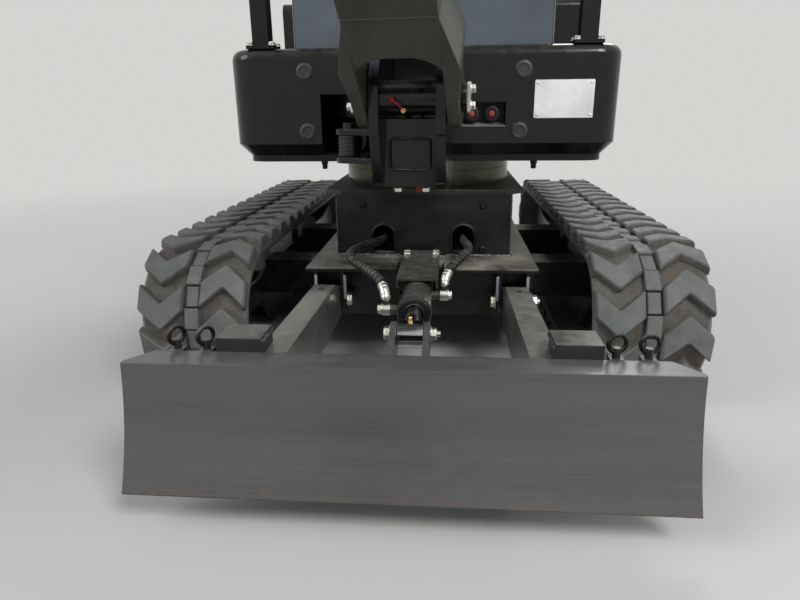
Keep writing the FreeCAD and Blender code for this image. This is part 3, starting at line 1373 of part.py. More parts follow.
def link_shape():
    """H-shaped link from the linkage pin to the bucket's ears."""
    span = size.link_length
    angle = heading(link_pin, linkage_pin)
    outline = [(-26, -26, 25), (span + 26, -26, 25), (span + 26, 26, 25), (-26, 26, 25)]
    plate = side_plate(turned_outline(link_pin, angle, outline), 48, 60)
    plate = plate.cut(across(link_pin, size.work_pin + size.fit_gap, 40, 70))
    sleeve = across(link_pin, 25, -48, 48).cut(across(link_pin, size.work_pin + size.fit_gap, -50, 50))
    return joined(both_sides(plate) + [sleeve])


def bucket_outline():
    """Wrapper in the bucket's own frame: x runs from the bucket pin to the teeth's tips."""
    lip = turned((0, 0), size.bucket_lip_angle, size.bucket_mouth, 0)
    deep = size.bucket_depth
    return [(58, 44), (0, 190, 50), (70, deep, 125), (lip[0] - 118, deep, 150), lip]


def bucket_shape():
    """Bucket: wrapper, cheeks, ears, pins and teeth."""
    half = size.bucket_width / 2
    outer = bucket_outline()
    wall = size.bucket_shell
    inner = inset(outer, [wall, wall, wall, wall, -20])
    shell = side_plate(turned_outline(bucket_pin, bucket_line, outer), -half, half)
    room = side_plate(turned_outline(bucket_pin, bucket_line, inner), -half + size.bucket_cheek,
                      half - size.bucket_cheek)
    shell = shell.cut(room)
    ear_pin = turned((0, 0), size.bucket_ear_angle, size.bucket_ear, 0)
    ear = [(-36, -38, 34), (38, -38, 34), (62, 42), (4, 192), (ear_pin[0] - 18, ear_pin[1] + 42, 28),
           (ear_pin[0] - 36, ear_pin[1] - 20, 28)]
    ear = side_plate(turned_outline(bucket_pin, bucket_line, ear), 80, 94)
    pins = [across(bucket_pin, size.work_pin + 4, -100, 100), across(link_pin, size.work_pin, -100, 100)]
    pieces = [shell] + both_sides(ear) + pins
    lip = outer[-1]
    way = heading(lip, (size.bucket_radius, 0))
    reach = distance(lip, (size.bucket_radius, 0))
    tooth = [(-45, 6), (20, 8), (reach, -1), (reach, -7), (10, -20), (-45, -16)]
    tooth = turned_outline(lip, way, tooth)
    side = size.tooth_width / 2
    for count in range(int(size.tooth_count)):
        x = -half + side + count * (size.bucket_width - size.tooth_width) / (size.tooth_count - 1)
        pieces.append(side_plate(turned_outline(bucket_pin, bucket_line, tooth), x - side, x + side))
    return joined(pieces)


def working_cylinder(name, base, eye_point, pivot, turns, barrel, rod, eye_half):
    """Barrel and rod of one cylinder that works in the middle plane."""
    shortest = min(distance(base, spot) for spot in turns)
    feature(name + "_barrel", barrel_shape(base, eye_point, barrel, rod, shortest - 50, eye_half,
                                           size.eye_radius, size.work_pin))
    feature(name + "_rod", rod_shape(base, eye_point, rod, shortest, size.eye_half_width, size.eye_radius))


def working_cylinders():
    boom_turns = [swung(boom_eye, foot, turn) for turn in (-BOOM_LOWER, 0, BOOM_RAISE)]
    working_cylinder("boom_cylinder", boom_base, boom_eye, foot, boom_turns, size.boom_barrel, size.boom_rod,
                     size.cheek_inside - size.side_gap)
    arm_turns = [swung(arm_eye, boom_tip, turn) for turn in (-ARM_IN, 0, ARM_OUT)]
    working_cylinder("arm_cylinder", arm_base, arm_eye, boom_tip, arm_turns, size.arm_barrel, size.arm_rod,
                     size.eye_half_width)
    bucket_turns = [linkage_at(turn) for turn in (-BUCKET_CURL, 0, BUCKET_DUMP)]
    working_cylinder("bucket_cylinder", bucket_base, linkage_pin, rocker_pin, bucket_turns,
                     size.bucket_barrel, size.bucket_rod, size.eye_half_width)


SWUNG = ("swing_post", "boom", "arm", "bucket_rocker", "bucket_link", "bucket",
         "boom_cylinder_barrel", "boom_cylinder_rod", "arm_cylinder_barrel", "arm_cylinder_rod",
         "bucket_cylinder_barrel", "bucket_cylinder_rod")


def park_boom():
    """Turn the swing post and all that it carries about the kingpin, from straight ahead."""
    turn = FreeCAD.Rotation(Vector(0, 0, 1), -size.parked_swing)
    parked = FreeCAD.Placement(Vector(0, 0, 0), turn, place(kingpin[0], kingpin[1], 0))
    for item in subparts:
        if item.Label in SWUNG:
            item.Placement = parked.multiply(item.Placement)


def build():
    both_track_sides()
    feature("centre_frame", centre_frame_shape())
    feature("blade", blade_shape())
    feature("blade_arms", blade_arms_shape())
    feature("blade_brackets", bracket_shapes())
    blade_cylinder()
    hose("blade_hose_left", LEFT_HOSE)
    hose("blade_hose_right", RIGHT_HOSE)
    slew_rings()
    feature("deck_frame", deck_shape())
    feature("front_panel", nose_panel_shape())
    feature("coupling_recess", recess_shape())
    feature("floor_plate", floor_shape())
    left_skirt = skirt_shapes()
    feature("left_skirt", left_skirt)
    feature("right_skirt", left_skirt.mirror(Vector(0, 0, 0), Vector(1, 0, 0)))
    feature("engine_hood", hood_shape())
    counterweight()
    engine_and_seat()
    feature("side_consoles", consoles_shape())
    feature("travel_levers", travel_levers_shape())
    feature("canopy_posts", canopy_posts_shape())
    canopy_roof()
    feature("front_shield", shield_shape())
    feature("work_lamps", lamps_shape())
    feature("swing_post", swing_post_shape())
    swing_cylinder()
    feature("boom", boom_shape())
    feature("arm", arm_shape())
    feature("bucket_rocker", rocker_shapes())
    feature("bucket_link", link_shape())
    feature("bucket", bucket_shape())
    working_cylinders()
    park_boom()
    doc.recompute()


def whole_box():
    box = FreeCAD.BoundBox()
    for item in subparts:
        box.add(item.Shape.BoundBox)
    return box


def row_shift():
    """How far along Y everything moves so that the origin lies under the middle."""
    box = whole_box()
    return -(box.YMin + box.YMax) / 2


def move_all(shift):
    for item in subparts:
        here = item.Placement
        item.Placement = FreeCAD.Placement(here.Base + Vector(0, shift, 0), here.Rotation)
    doc.recompute()


def check_and_export():
    faults = ["%s did not build" % item.Label for item in doc.Objects
              if "Invalid" in item.State or "Error" in item.State]
    for item in subparts:
        if item.Shape.isNull() or not item.Shape.isValid() or not item.Shape.Solids:
            faults.append("%s has no valid solid" % item.Label)
        else:
            item.Shape.exportStep("parts/" + item.Label + ".step")
    if faults:
        raise RuntimeError("; ".join(faults))


os.makedirs("parts", exist_ok=True)
build()
shift = row_shift()
move_all(shift)
check_and_export()
print("nodes %d, shift %.2f, box %s" % (len(subparts), shift, whole_box()))
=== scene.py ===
"""Looks of the mini excavator: studio, finishes, hoses, treads, seat and small fittings.

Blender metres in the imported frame: +X is the machine's left, the boom points along -Y, +Z is up.
at() takes millimetres as the part's source does: x, forward of the slew axis, height.
"""

import json
import math
import random

import bmesh
import bpy
from mathutils import Matrix, Vector


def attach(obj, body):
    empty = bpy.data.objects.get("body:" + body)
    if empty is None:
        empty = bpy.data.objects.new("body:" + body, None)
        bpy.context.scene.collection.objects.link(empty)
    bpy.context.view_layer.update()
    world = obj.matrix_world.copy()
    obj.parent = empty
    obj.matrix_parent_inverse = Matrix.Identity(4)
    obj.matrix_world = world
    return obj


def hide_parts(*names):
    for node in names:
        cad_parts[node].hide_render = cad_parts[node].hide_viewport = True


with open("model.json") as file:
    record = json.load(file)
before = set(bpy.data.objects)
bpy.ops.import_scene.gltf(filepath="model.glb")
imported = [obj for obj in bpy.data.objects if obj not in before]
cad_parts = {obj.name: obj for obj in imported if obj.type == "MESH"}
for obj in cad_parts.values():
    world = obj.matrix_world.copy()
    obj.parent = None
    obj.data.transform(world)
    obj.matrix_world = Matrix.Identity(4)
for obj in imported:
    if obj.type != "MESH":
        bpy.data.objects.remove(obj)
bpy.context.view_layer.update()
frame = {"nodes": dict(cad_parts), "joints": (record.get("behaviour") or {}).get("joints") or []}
slew_y = [joint for joint in frame["joints"] if joint["name"] == "slew"][0]["pos_m"][1]

LEFT = Vector((1, 0, 0))
RIGHT = Vector((-1, 0, 0))
AHEAD = Vector((0, -1, 0))
BEHIND = Vector((0, 1, 0))
UP = Vector((0, 0, 1))
DOWN = Vector((0, 0, -1))


def at(x, forward, height):
    return Vector((x / 1000, slew_y - forward / 1000, height / 1000))


# Camera and studio

def aim_camera():
    """The photograph's view: between the blade and the hanging arm, looking down at the machine."""
    yaw, pitch, roll = math.radians(4.75), math.radians(18.12), math.radians(-0.64)
    ahead = Vector((-math.sin(yaw) * math.cos(pitch), math.cos(yaw) * math.cos(pitch), -math.sin(pitch)))
    level = Vector((math.cos(yaw), math.sin(yaw), 0))
    above = level.cross(ahead)
    right = level * math.cos(roll) + above * math.sin(roll)
    up = above * math.cos(roll) - level * math.sin(roll)
    data = bpy.data.cameras.new("camera")
    data.sensor_width = 36
    data.lens = 27.05
    data.clip_start = 0.02
    camera = bpy.data.objects.new("camera", data)
    turn = Matrix((right, up, -ahead)).transposed().to_4x4()
    camera.matrix_world = Matrix.Translation(at(70, 1950, 690)) @ turn
    bpy.context.scene.collection.objects.link(camera)
    bpy.context.scene.camera = camera


def area_light(name, place, aim, size, power):
    data = bpy.data.lights.new(name, "AREA")
    data.shape = "DISK"
    data.size = size
    data.energy = power
    light = bpy.data.objects.new(name, data)
    bpy.context.scene.collection.objects.link(light)
    light.matrix_world = Matrix.Translation(place) @ (aim - place).to_track_quat("-Z", "Y").to_matrix().to_4x4()


def seen_directly(nodes, links):
    """1 for what the camera sees straight, in metal or through glass, 0 for light on the object."""
    path = nodes.new("ShaderNodeLightPath")
    seen = path.outputs["Is Camera Ray"]
    for kind in ("Is Glossy Ray", "Is Transmission Ray"):
        larger = nodes.new("ShaderNodeMath")
        larger.operation = "MAXIMUM"
        links.new(seen, larger.inputs[0])
        links.new(path.outputs[kind], larger.inputs[1])
        seen = larger.outputs[0]
    return seen


def light_world(background, strength):
    """Dim soft light on the object, and a pale background for the camera, metal and glass."""
    world = bpy.data.worlds.new("studio")
    bpy.context.scene.world = world
    world.use_nodes = True
    nodes, links = world.node_tree.nodes, world.node_tree.links
    nodes.clear()
    seen = seen_directly(nodes, links)
    soft = nodes.new("ShaderNodeBackground")
    soft.inputs["Color"].default_value = (0.93, 0.96, 1.0, 1)
    soft.inputs["Strength"].default_value = strength
    pale = nodes.new("ShaderNodeBackground")
    pale.inputs["Color"].default_value = background
    mix = nodes.new("ShaderNodeMixShader")
    links.new(seen, mix.inputs[0])
    links.new(soft.outputs[0], mix.inputs[1])
    links.new(pale.outputs[0], mix.inputs[2])
    out = nodes.new("ShaderNodeOutputWorld")
    links.new(mix.outputs[0], out.inputs["Surface"])


def lay_floor(colour, background):
    """A pale floor that keeps the object's shadow and runs out into the background."""
    mesh = bpy.data.meshes.new("floor")
    mesh.from_pydata([(-30, -30, 0), (30, -30, 0), (30, 30, 0), (-30, 30, 0)], [], [(0, 1, 2, 3)])
    floor = bpy.data.objects.new("floor", mesh)
    bpy.context.scene.collection.objects.link(floor)
    material = bpy.data.materials.new("floor_pale")
    material.use_nodes = True
    shader = material.node_tree.nodes["Principled BSDF"]
    shader.inputs["Base Color"].default_value = colour
    shader.inputs["Roughness"].default_value = 0.9
    shader.inputs["Specular IOR Level"].default_value = 0.1
    nodes, links = material.node_tree.nodes, material.node_tree.links
    place = nodes.new("ShaderNodeTexCoord")
    reach = nodes.new("ShaderNodeVectorMath")
    reach.operation = "LENGTH"
    links.new(place.outputs["Object"], reach.inputs[0])
    far = nodes.new("ShaderNodeMapRange")
    far.interpolation_type = "SMOOTHSTEP"
    far.inputs["From Min"].default_value = 1.6
    far.inputs["From Max"].default_value = 5.5
    links.new(reach.outputs["Value"], far.inputs["Value"])
    share = nodes.new("ShaderNodeMath")
    share.operation = "MULTIPLY"
    links.new(far.outputs[0], share.inputs[0])
    links.new(seen_directly(nodes, links), share.inputs[1])
    glow = nodes.new("ShaderNodeEmission")
    glow.inputs["Color"].default_value = background
    mix = nodes.new("ShaderNodeMixShader")
    links.new(share.outputs[0], mix.inputs[0])
    links.new(shader.outputs[0], mix.inputs[1])
    links.new(glow.outputs[0], mix.inputs[2])
    links.new(mix.outputs[0], nodes["Material Output"].inputs["Surface"])
    mesh.materials.append(material)


def set_studio():
    scene = bpy.context.scene
    scene.view_settings.view_transform = "Standard"
    background = (0.66, 0.655, 0.64, 1)
    lay_floor((0.54, 0.535, 0.52, 1), background)
    light_world(background, 0.45)
    area_light("key", Vector((2.6, -3.0, 4.6)), Vector((0, 0.3, 0.4)), 2.4, 215)
    area_light("fill", Vector((-4.2, -1.6, 3.4)), Vector((0, 0.5, 0.6)), 3.0, 110)
    area_light("back", Vector((1.5, 5.2, 4.2)), Vector((0, 0.6, 0.8)), 3.0, 150)


# Finishes

SOIL = (0.115, 0.080, 0.050, 1)
DUST = (0.26, 0.245, 0.205, 1)


class Finish:
    """A procedural material on one shader. Texture sizes are in millimetres on the object."""

    def __init__(self, name, colour, metallic=0.0, coat=0.0, edge=0.0, specular=0.5):
        self.material = bpy.data.materials.new(name)
        self.material.use_nodes = True
        self.nodes = self.material.node_tree.nodes
        self.links = self.material.node_tree.links
        self.shader = self.nodes["Principled BSDF"]
        self.shader.inputs["Metallic"].default_value = metallic
        self.shader.inputs["Coat Weight"].default_value = coat
        self.shader.inputs["Coat Roughness"].default_value = 0.08
        self.shader.inputs["Specular IOR Level"].default_value = specular
        place = self.nodes.new("ShaderNodeTexCoord")
        self.place = place.outputs["Object"]
        self.facing = self.part_of(place.outputs["Normal"], "Z")
        self.ahead = self.math("MULTIPLY", self.part_of(place.outputs["Normal"], "Y"), -1)
        self.height = self.part_of(self.place, "Z")
        self.colour = (colour[0], colour[1], colour[2], 1)
        self.rough = None
        self.normal = None
        if edge:
            bevel = self.nodes.new("ShaderNodeBevel")
            bevel.samples = 4
            bevel.inputs["Radius"].default_value = edge / 1000
            self.normal = bevel.outputs["Normal"]

    def part_of(self, vector, name):
        split = self.nodes.new("ShaderNodeSeparateXYZ")
        self.links.new(vector, split.inputs[0])
        return split.outputs[name]

    def feed(self, value, socket):
        if isinstance(value, (int, float, tuple)):
            socket.default_value = value
        else:
            self.links.new(value, socket)

    def noise(self, cell, stretch=(1, 1, 1), detail=5, rough=0.55, warp=0.0):
        mapping = self.nodes.new("ShaderNodeMapping")
        self.links.new(self.place, mapping.inputs["Vector"])
        mapping.inputs["Scale"].default_value = stretch
        texture = self.nodes.new("ShaderNodeTexNoise")
        texture.inputs["Scale"].default_value = 1000 / cell
        texture.inputs["Detail"].default_value = detail
        texture.inputs["Roughness"].default_value = rough
        texture.inputs["Distortion"].default_value = warp
        self.links.new(mapping.outputs[0], texture.inputs["Vector"])
        return texture.outputs["Fac"]

    def cells(self, cell, stretch=(1, 1, 1)):
        mapping = self.nodes.new("ShaderNodeMapping")
        self.links.new(self.place, mapping.inputs["Vector"])
        mapping.inputs["Scale"].default_value = stretch
        texture = self.nodes.new("ShaderNodeTexVoronoi")
        texture.inputs["Scale"].default_value = 1000 / cell
        self.links.new(mapping.outputs[0], texture.inputs["Vector"])
        return texture.outputs["Distance"]

    def between(self, value, low, high, to_low=0.0, to_high=1.0):
        node = self.nodes.new("ShaderNodeMapRange")
        for index, given in enumerate((value, low, high, to_low, to_high)):
            self.feed(given, node.inputs[index])
        return node.outputs[0]

    def math(self, operation, first, second):
        node = self.nodes.new("ShaderNodeMath")
        node.operation = operation
        self.feed(first, node.inputs[0])
        self.feed(second, node.inputs[1])
        return node.outputs[0]

    def cover(self, mask, colour):
        """Lay a colour over the present one where the mask is 1."""
        node = self.nodes.new("ShaderNodeMix")
        node.data_type = "RGBA"
        self.feed(mask, node.inputs["Factor"])
        self.feed(self.colour, node.inputs["A"])
        self.feed(colour, node.inputs["B"])
        self.colour = node.outputs["Result"]

    def vary(self, cell, share, stretch=(1, 1, 1)):
        """Clouds of a lighter shade of the base colour."""
        lighter = tuple(min(1, c * (1 + share)) for c in self.colour[:3]) + (1,)
        self.cover(self.between(self.noise(cell, stretch), 0.35, 0.7), lighter)

    def dust(self, amount, colour=DUST, cell=30):
        """Dust that lies on what faces up, thinner elsewhere. Laid on heavily, as on the centre frame, it is also
        painted light on sunlit top faces.
        """
        up = self.between(self.facing, 0.1, 0.9, 0.03, 1.0)
        patch = self.between(self.noise(cell, detail=8, rough=0.65), 0.36, 0.72)
        mask = self.math("MULTIPLY", self.math("MULTIPLY", up, patch), amount)
        self.cover(mask, colour)
        return mask

    def soil(self, low, high, amount, cell=22, colour=SOIL):
        """Soil that thins out from one height to another."""
        fade = self.between(self.height, low / 1000, high / 1000, 1.0, 0.0)
        patch = self.between(self.noise(cell, detail=9, rough=0.7), 0.45, 0.62)
        mask = self.math("MULTIPLY", self.math("MULTIPLY", fade, patch), amount)
        self.cover(mask, colour)
        return mask

    def roughness(self, low, high, cell=60, stretch=(1, 1, 1), plus=None):
        value = self.between(self.noise(cell, stretch), 0.3, 0.7, low, high)
        if plus is not None:
            value = self.math("ADD", value, self.math("MULTIPLY", plus, 0.5))
        self.rough = value

    def bump(self, height, depth, strength=1.0):
        node = self.nodes.new("ShaderNodeBump")
        node.inputs["Strength"].default_value = strength
        node.inputs["Distance"].default_value = depth / 1000
        self.links.new(height, node.inputs["Height"])
        if self.normal is not None:
            self.links.new(self.normal, node.inputs["Normal"])
        self.normal = node.outputs["Normal"]

    def done(self):
        self.feed(self.colour, self.shader.inputs["Base Color"])
        if self.rough is not None:
            self.feed(self.rough, self.shader.inputs["Roughness"])
        if self.normal is not None:
            self.links.new(self.normal, self.shader.inputs["Normal"])
        return self.material


def paint(name, colour, rough, dust, soil=0.0, coat=0.0, metallic=0.0, edge=2.0, wave=0.25, gloss=0.3,
          patch=30):
    """Sprayed paint on plate: orange peel, waviness of the plate, dust, fine scratches, soil low down."""
    finish = Finish(name, colour, metallic=metallic, coat=coat, edge=edge, specular=gloss)
    finish.vary(140, 0.5)
    scratch = finish.between(finish.noise(9, (1, 7, 1), detail=8, rough=0.75), 0.66, 0.72, 0.0, 0.18)
    finish.cover(scratch, tuple(min(1, c * 3 + 0.015) for c in colour) + (1,))
    lying = finish.dust(dust, cell=patch)
    if soil:
        finish.soil(60, 330, soil)
    finish.roughness(rough, rough + 0.14, 45, plus=lying)
    finish.bump(finish.noise(260, detail=2), wave)
    finish.bump(finish.noise(2.2, detail=3), 0.03)
    return finish.done()


def blade_finish():
    """Charcoal plate, wiped in long level streaks, with a little soil along the cutting edge."""
    finish = Finish("blade_charcoal", (0.058, 0.058, 0.060), coat=0.2, edge=3.5, specular=0.5)
    finish.vary(110, 0.45, (0.10, 1, 1.6))
    streak = finish.between(finish.noise(4, (0.015, 1, 2.5), detail=8, rough=0.7), 0.45, 0.75, 0.0, 0.5)
    finish.cover(streak, (0.115, 0.115, 0.120, 1))
    scratch = finish.between(finish.noise(6, (2.5, 1, 0.12), detail=7, rough=0.75), 0.69, 0.73, 0.0, 0.25)
    finish.cover(scratch, (0.15, 0.15, 0.15, 1))
    lying = finish.dust(0.12)
    finish.soil(62, 92, 0.6, 9)
    finish.roughness(0.26, 0.40, 14, (0.05, 1, 1.6), plus=lying)
    finish.bump(finish.noise(4, (0.02, 1, 1.4), detail=5), 0.04)
    finish.bump(finish.noise(240, detail=2), 0.5)
    return finish.done()


def post_finish():
    """Gloss black casting; a painted bluish highlight along the front edges of its cheeks above the boom's pin stands
    for the sky's reflection.
    """
    finish = Finish("post_black", (0.0030, 0.0030, 0.0034), coat=0.22, edge=2.5, specular=0.28)
    finish.vary(140, 0.5)
    # Painted highlight: bluish colour on the forward-facing cheek edges, standing for the sky's reflection.
    edge = finish.math("MULTIPLY", finish.between(finish.ahead, 0.80, 0.92),
                       finish.between(finish.height, 0.738, 0.765))
    patch = finish.between(finish.noise(40, (1, 1, 0.3)), 0.3, 0.6, 0.35, 1.0)
    finish.cover(finish.math("MULTIPLY", edge, patch), (0.30, 0.36, 0.50, 1))
    lying = finish.dust(0.35)
    finish.roughness(0.12, 0.24, 45, plus=lying)
    finish.bump(finish.noise(200, detail=2), 0.3)
    return finish.done()


def bucket_finish():
    """The boom's paint, worn to bare steel and stained with soil towards the teeth."""
    finish = Finish("bucket_worn", (0.047, 0.047, 0.039), coat=0.15, edge=3.0, specular=0.4)
    finish.vary(140, 0.5)
    low = finish.between(finish.height, 0.05, 0.26, 1.0, 0.0)
    rubbed = finish.between(finish.noise(28, (1, 1, 0.4), detail=8, rough=0.7), 0.44, 0.62)
    wear = finish.math("MULTIPLY", low, rubbed)
    finish.cover(wear, (0.20, 0.195, 0.18, 1))
    stain = finish.math("MULTIPLY", low, finish.between(finish.noise(60, detail=9, rough=0.75), 0.5, 0.66))
    finish.cover(stain, SOIL)
    finish.roughness(0.24, 0.40, 30, plus=stain)
    finish.bump(finish.noise(200, detail=2), 0.3)
    finish.bump(rubbed, 0.15)
    return finish.done()


def rubber(name, colour, soil_share):
    """Moulded tread rubber with a dusty film; its flanks carry dried soil."""
    finish = Finish(name, colour, edge=2.0, specular=0.35)
    finish.vary(45, 0.45)
    film = finish.between(finish.noise(9, detail=9, rough=0.7), 0.42, 0.66, 0.0, 0.4)
    finish.cover(film, (0.155, 0.155, 0.148, 1))
    dried = finish.between(finish.noise(26, detail=9, rough=0.75, warp=0.6), 0.62 - 0.3 * soil_share,
                           0.72 - 0.2 * soil_share, 0.0, 0.45 + 0.5 * soil_share)
    finish.cover(dried, SOIL)
    nick = finish.between(finish.noise(5, (1, 1, 0.4), detail=6, rough=0.6), 0.68, 0.74, 0.0, 0.7)
    finish.cover(nick, (0.028, 0.026, 0.024, 1))
    finish.roughness(0.55, 0.85, 20)
    finish.bump(finish.noise(3, detail=8, rough=0.7), 0.5)
    finish.bump(dried, 0.6)
    return finish.done()


def metal(name, colour, low, high, grain=(1, 1, 1), dust=0.15, depth=0.02):
    finish = Finish(name, colour, metallic=1.0, edge=1.0)
    finish.vary(30, 0.25)
    lying = finish.dust(dust, cell=14)
    finish.roughness(low, high, 8, grain, plus=lying)
    finish.bump(finish.noise(1.5, grain, detail=4), depth)
    return finish.done()


def plastic(name, colour, rough, grain=0.06, dust=0.2, edge=1.5, bright=0.4):
    """Moulded plastic or vinyl with a fine pressed grain."""
    finish = Finish(name, colour, edge=edge, specular=bright)
    finish.vary(80, 0.4)
    lying = finish.dust(dust, cell=18)
    finish.roughness(rough, rough + 0.15, 25, plus=lying)
    finish.bump(finish.cells(1.6), grain)
    finish.bump(finish.noise(30, detail=3), 0.1)
    return finish.done()


def weld_finish():
    finish = Finish("weld_bead", (0.09, 0.09, 0.09), metallic=0.7)
    finish.vary(6, 1.2)
    finish.roughness(0.25, 0.5, 5)
    finish.bump(finish.noise(2.5, detail=4), 0.6)
    return finish.done()


def lens_finish():
    finish = Finish("lamp_lens", (0.82, 0.84, 0.86), coat=0.6)
    finish.vary(12, 0.12)
    finish.roughness(0.06, 0.16, 15)
    finish.bump(finish.cells(6, (1, 1, 0.25)), 0.5)
    return finish.done()


finishes = {
    "frame_black": paint("frame_black", (0.0045, 0.0045, 0.0048), 0.26, 0.55, soil=0.4, gloss=0.28),
    "gloss_black": paint("gloss_black", (0.0042, 0.0046, 0.0044), 0.13, 0.18, coat=0.12, edge=2.5, wave=0.35),
    # Heavy up-facing dust on the centre frame: partly real dust, partly painted light on its sunlit top faces.
    "base_black": paint("base_black", (0.0060, 0.0060, 0.0058), 0.22, 1.5, soil=0.1, coat=0.15, gloss=0.35,
                        patch=130),
    "post_black": post_finish(),
    "bucket_worn": bucket_finish(),
    "plate_black": paint("plate_black", (0.020, 0.021, 0.021), 0.22, 0.50, soil=0.2, coat=0.2, edge=2.5),
    "blade": blade_finish(),
    # The blade arms' grey is lighter than their dark gloss paint: it is partly painted sheen, standing for the sky's
    # reflection on their tops.
    "arm_grey": paint("arm_grey", (0.085, 0.085, 0.080), 0.24, 0.75, coat=0.25, edge=2.0, gloss=0.5),
    "cast_grey": paint("cast_grey", (0.055, 0.055, 0.040), 0.20, 0.15, metallic=0.85, edge=1.5),
    "eye_grey": paint("eye_grey", (0.045, 0.045, 0.045), 0.22, 0.20, metallic=0.8, edge=1.5, gloss=0.5),
    "plug_grey": plastic("plug_grey", (0.030, 0.032, 0.034), 0.40, 0.04, 0.20),
    # Bluish metal for the painted highlight strips on the blade lugs; it stands for the sky's reflection.
    "bare_steel": metal("bare_steel", (0.62, 0.67, 0.78), 0.25, 0.45, (1, 1, 0.3), 0.1),
    "barrel_grey": paint("barrel_grey", (0.036, 0.036, 0.034), 0.24, 0.35, soil=0.2, coat=0.25, gloss=0.45),
    "track_rubber": rubber("track_rubber", (0.112, 0.117, 0.113), 0.12),
    "track_flank": rubber("track_flank", (0.074, 0.071, 0.064), 0.45),
    "boom_olive": paint("boom_olive", (0.047, 0.047, 0.039), 0.24, 0.20, coat=0.2, edge=3.5, wave=0.3, gloss=0.4),
    "chrome_rod": metal("chrome_rod", (0.55, 0.55, 0.56), 0.08, 0.18, (1, 1, 1), 0.05, 0.004),
    "zinc": metal("zinc_plate", (0.62, 0.61, 0.56), 0.26, 0.42),
    "brass": metal("brass", (0.70, 0.50, 0.22), 0.25, 0.4),
    "hose_rubber": plastic("hose_rubber", (0.007, 0.007, 0.007), 0.45, 0.04, 0.30),
    "guard_spiral": plastic("guard_spiral", (0.016, 0.016, 0.017), 0.30, 0.02, 0.50),
    "seat_vinyl": plastic("seat_vinyl", (0.014, 0.014, 0.015), 0.40, 0.12, 0.10),
    "seat_thread": plastic("seat_thread", (0.045, 0.045, 0.047), 0.50, 0.03, 0.05, edge=0.3),
    "dark_plastic": plastic("dark_plastic", (0.009, 0.009, 0.010), 0.34, 0.08, 0.20, bright=0.3),
    "grip_rubber": plastic("grip_rubber", (0.012, 0.012, 0.012), 0.60, 0.12, 0.15, bright=0.3),
    "roof_plastic": plastic("roof_plastic", (0.011, 0.011, 0.012), 0.32, 0.05, 0.30, bright=0.35),
    "engine_metal": paint("engine_metal", (0.11, 0.11, 0.105), 0.45, 0.3, metallic=0.5),
    "weld": weld_finish(),
    "lens": lens_finish(),
    "red_cap": plastic("red_cap", (0.42, 0.012, 0.010), 0.4, 0.02, 0.1),
    "orange": plastic("coupling_orange", (0.30, 0.045, 0.018), 0.4, 0.02, 0.05),
    "white_plate": plastic("white_plate", (0.70, 0.70, 0.68), 0.35, 0.01, 0.06, edge=0.6),
    # Front shield: a black sheet given a bluish grey colour, which is painted reflection of the sky.
    "shield_sheet": paint("shield_sheet", (0.070, 0.084, 0.105), 0.10, 0.10, coat=0.4, metallic=0.35, wave=1.2, gloss=0.5),
}

NODE_FINISH = {
    "gloss_black": ("front_panel", "left_skirt", "right_skirt", "engine_hood", "counterweight", "floor_plate"),
    "base_black": ("centre_frame",),
    "frame_black": ("left_track_frame", "right_track_frame", "left_drive_sprocket",
                    "right_drive_sprocket", "left_track_wheels", "right_track_wheels", "deck_frame",
                    "travel_levers", "canopy_posts"),
    "post_black": ("swing_post",),
    "eye_grey": ("swing_cylinder_rod",),
    "plate_black": ("blade_brackets",),
    "arm_grey": ("blade_arms",),
    "blade": ("blade",),
    "barrel_grey": ("blade_cylinder_barrel", "blade_cylinder_guard", "swing_cylinder_barrel",
                    "boom_cylinder_barrel", "arm_cylinder_barrel", "bucket_cylinder_barrel"),
    "cast_grey": ("slew_ring_lower", "slew_ring_upper"),
    "track_rubber": ("left_track", "right_track"),
    "boom_olive": ("boom", "arm", "bucket_rocker", "bucket_link"),
    "bucket_worn": ("bucket",),
    "chrome_rod": ("blade_cylinder_rod", "boom_cylinder_rod", "arm_cylinder_rod",
                   "bucket_cylinder_rod"),
    "hose_rubber": ("blade_hose_left", "blade_hose_right"),
    "seat_vinyl": ("seat_cushion", "seat_backrest"),
    "dark_plastic": ("side_consoles", "coupling_recess", "work_lamps"),
    "roof_plastic": ("canopy_roof",),
    "engine_metal": ("engine_block",),
    "shield_sheet": ("front_shield",),
}


def finish_nodes():
    for finish, names in NODE_FINISH.items():
        for name in names:
            node = frame["nodes"][name]
            if not node.material_slots:
                node.data.materials.append(finishes[finish])
            for slot in node.material_slots:
                slot.material = finishes[finish]


# Making pieces

def parked_turn():
    """The boom is parked swung to the machine's right; its fittings are placed for a boom straight ahead."""
    pivot = Matrix.Translation(at(0, 580, 0))
    return pivot @ Matrix.Rotation(math.radians(-6), 4, "Z") @ pivot.inverted()


def sides_of(axis):
    """Two directions square to an axis and to each other."""
    other = UP if abs(axis.z) < 0.9 else LEFT
    side = axis.cross(other).normalized()
    return side, side.cross(axis).normalized()


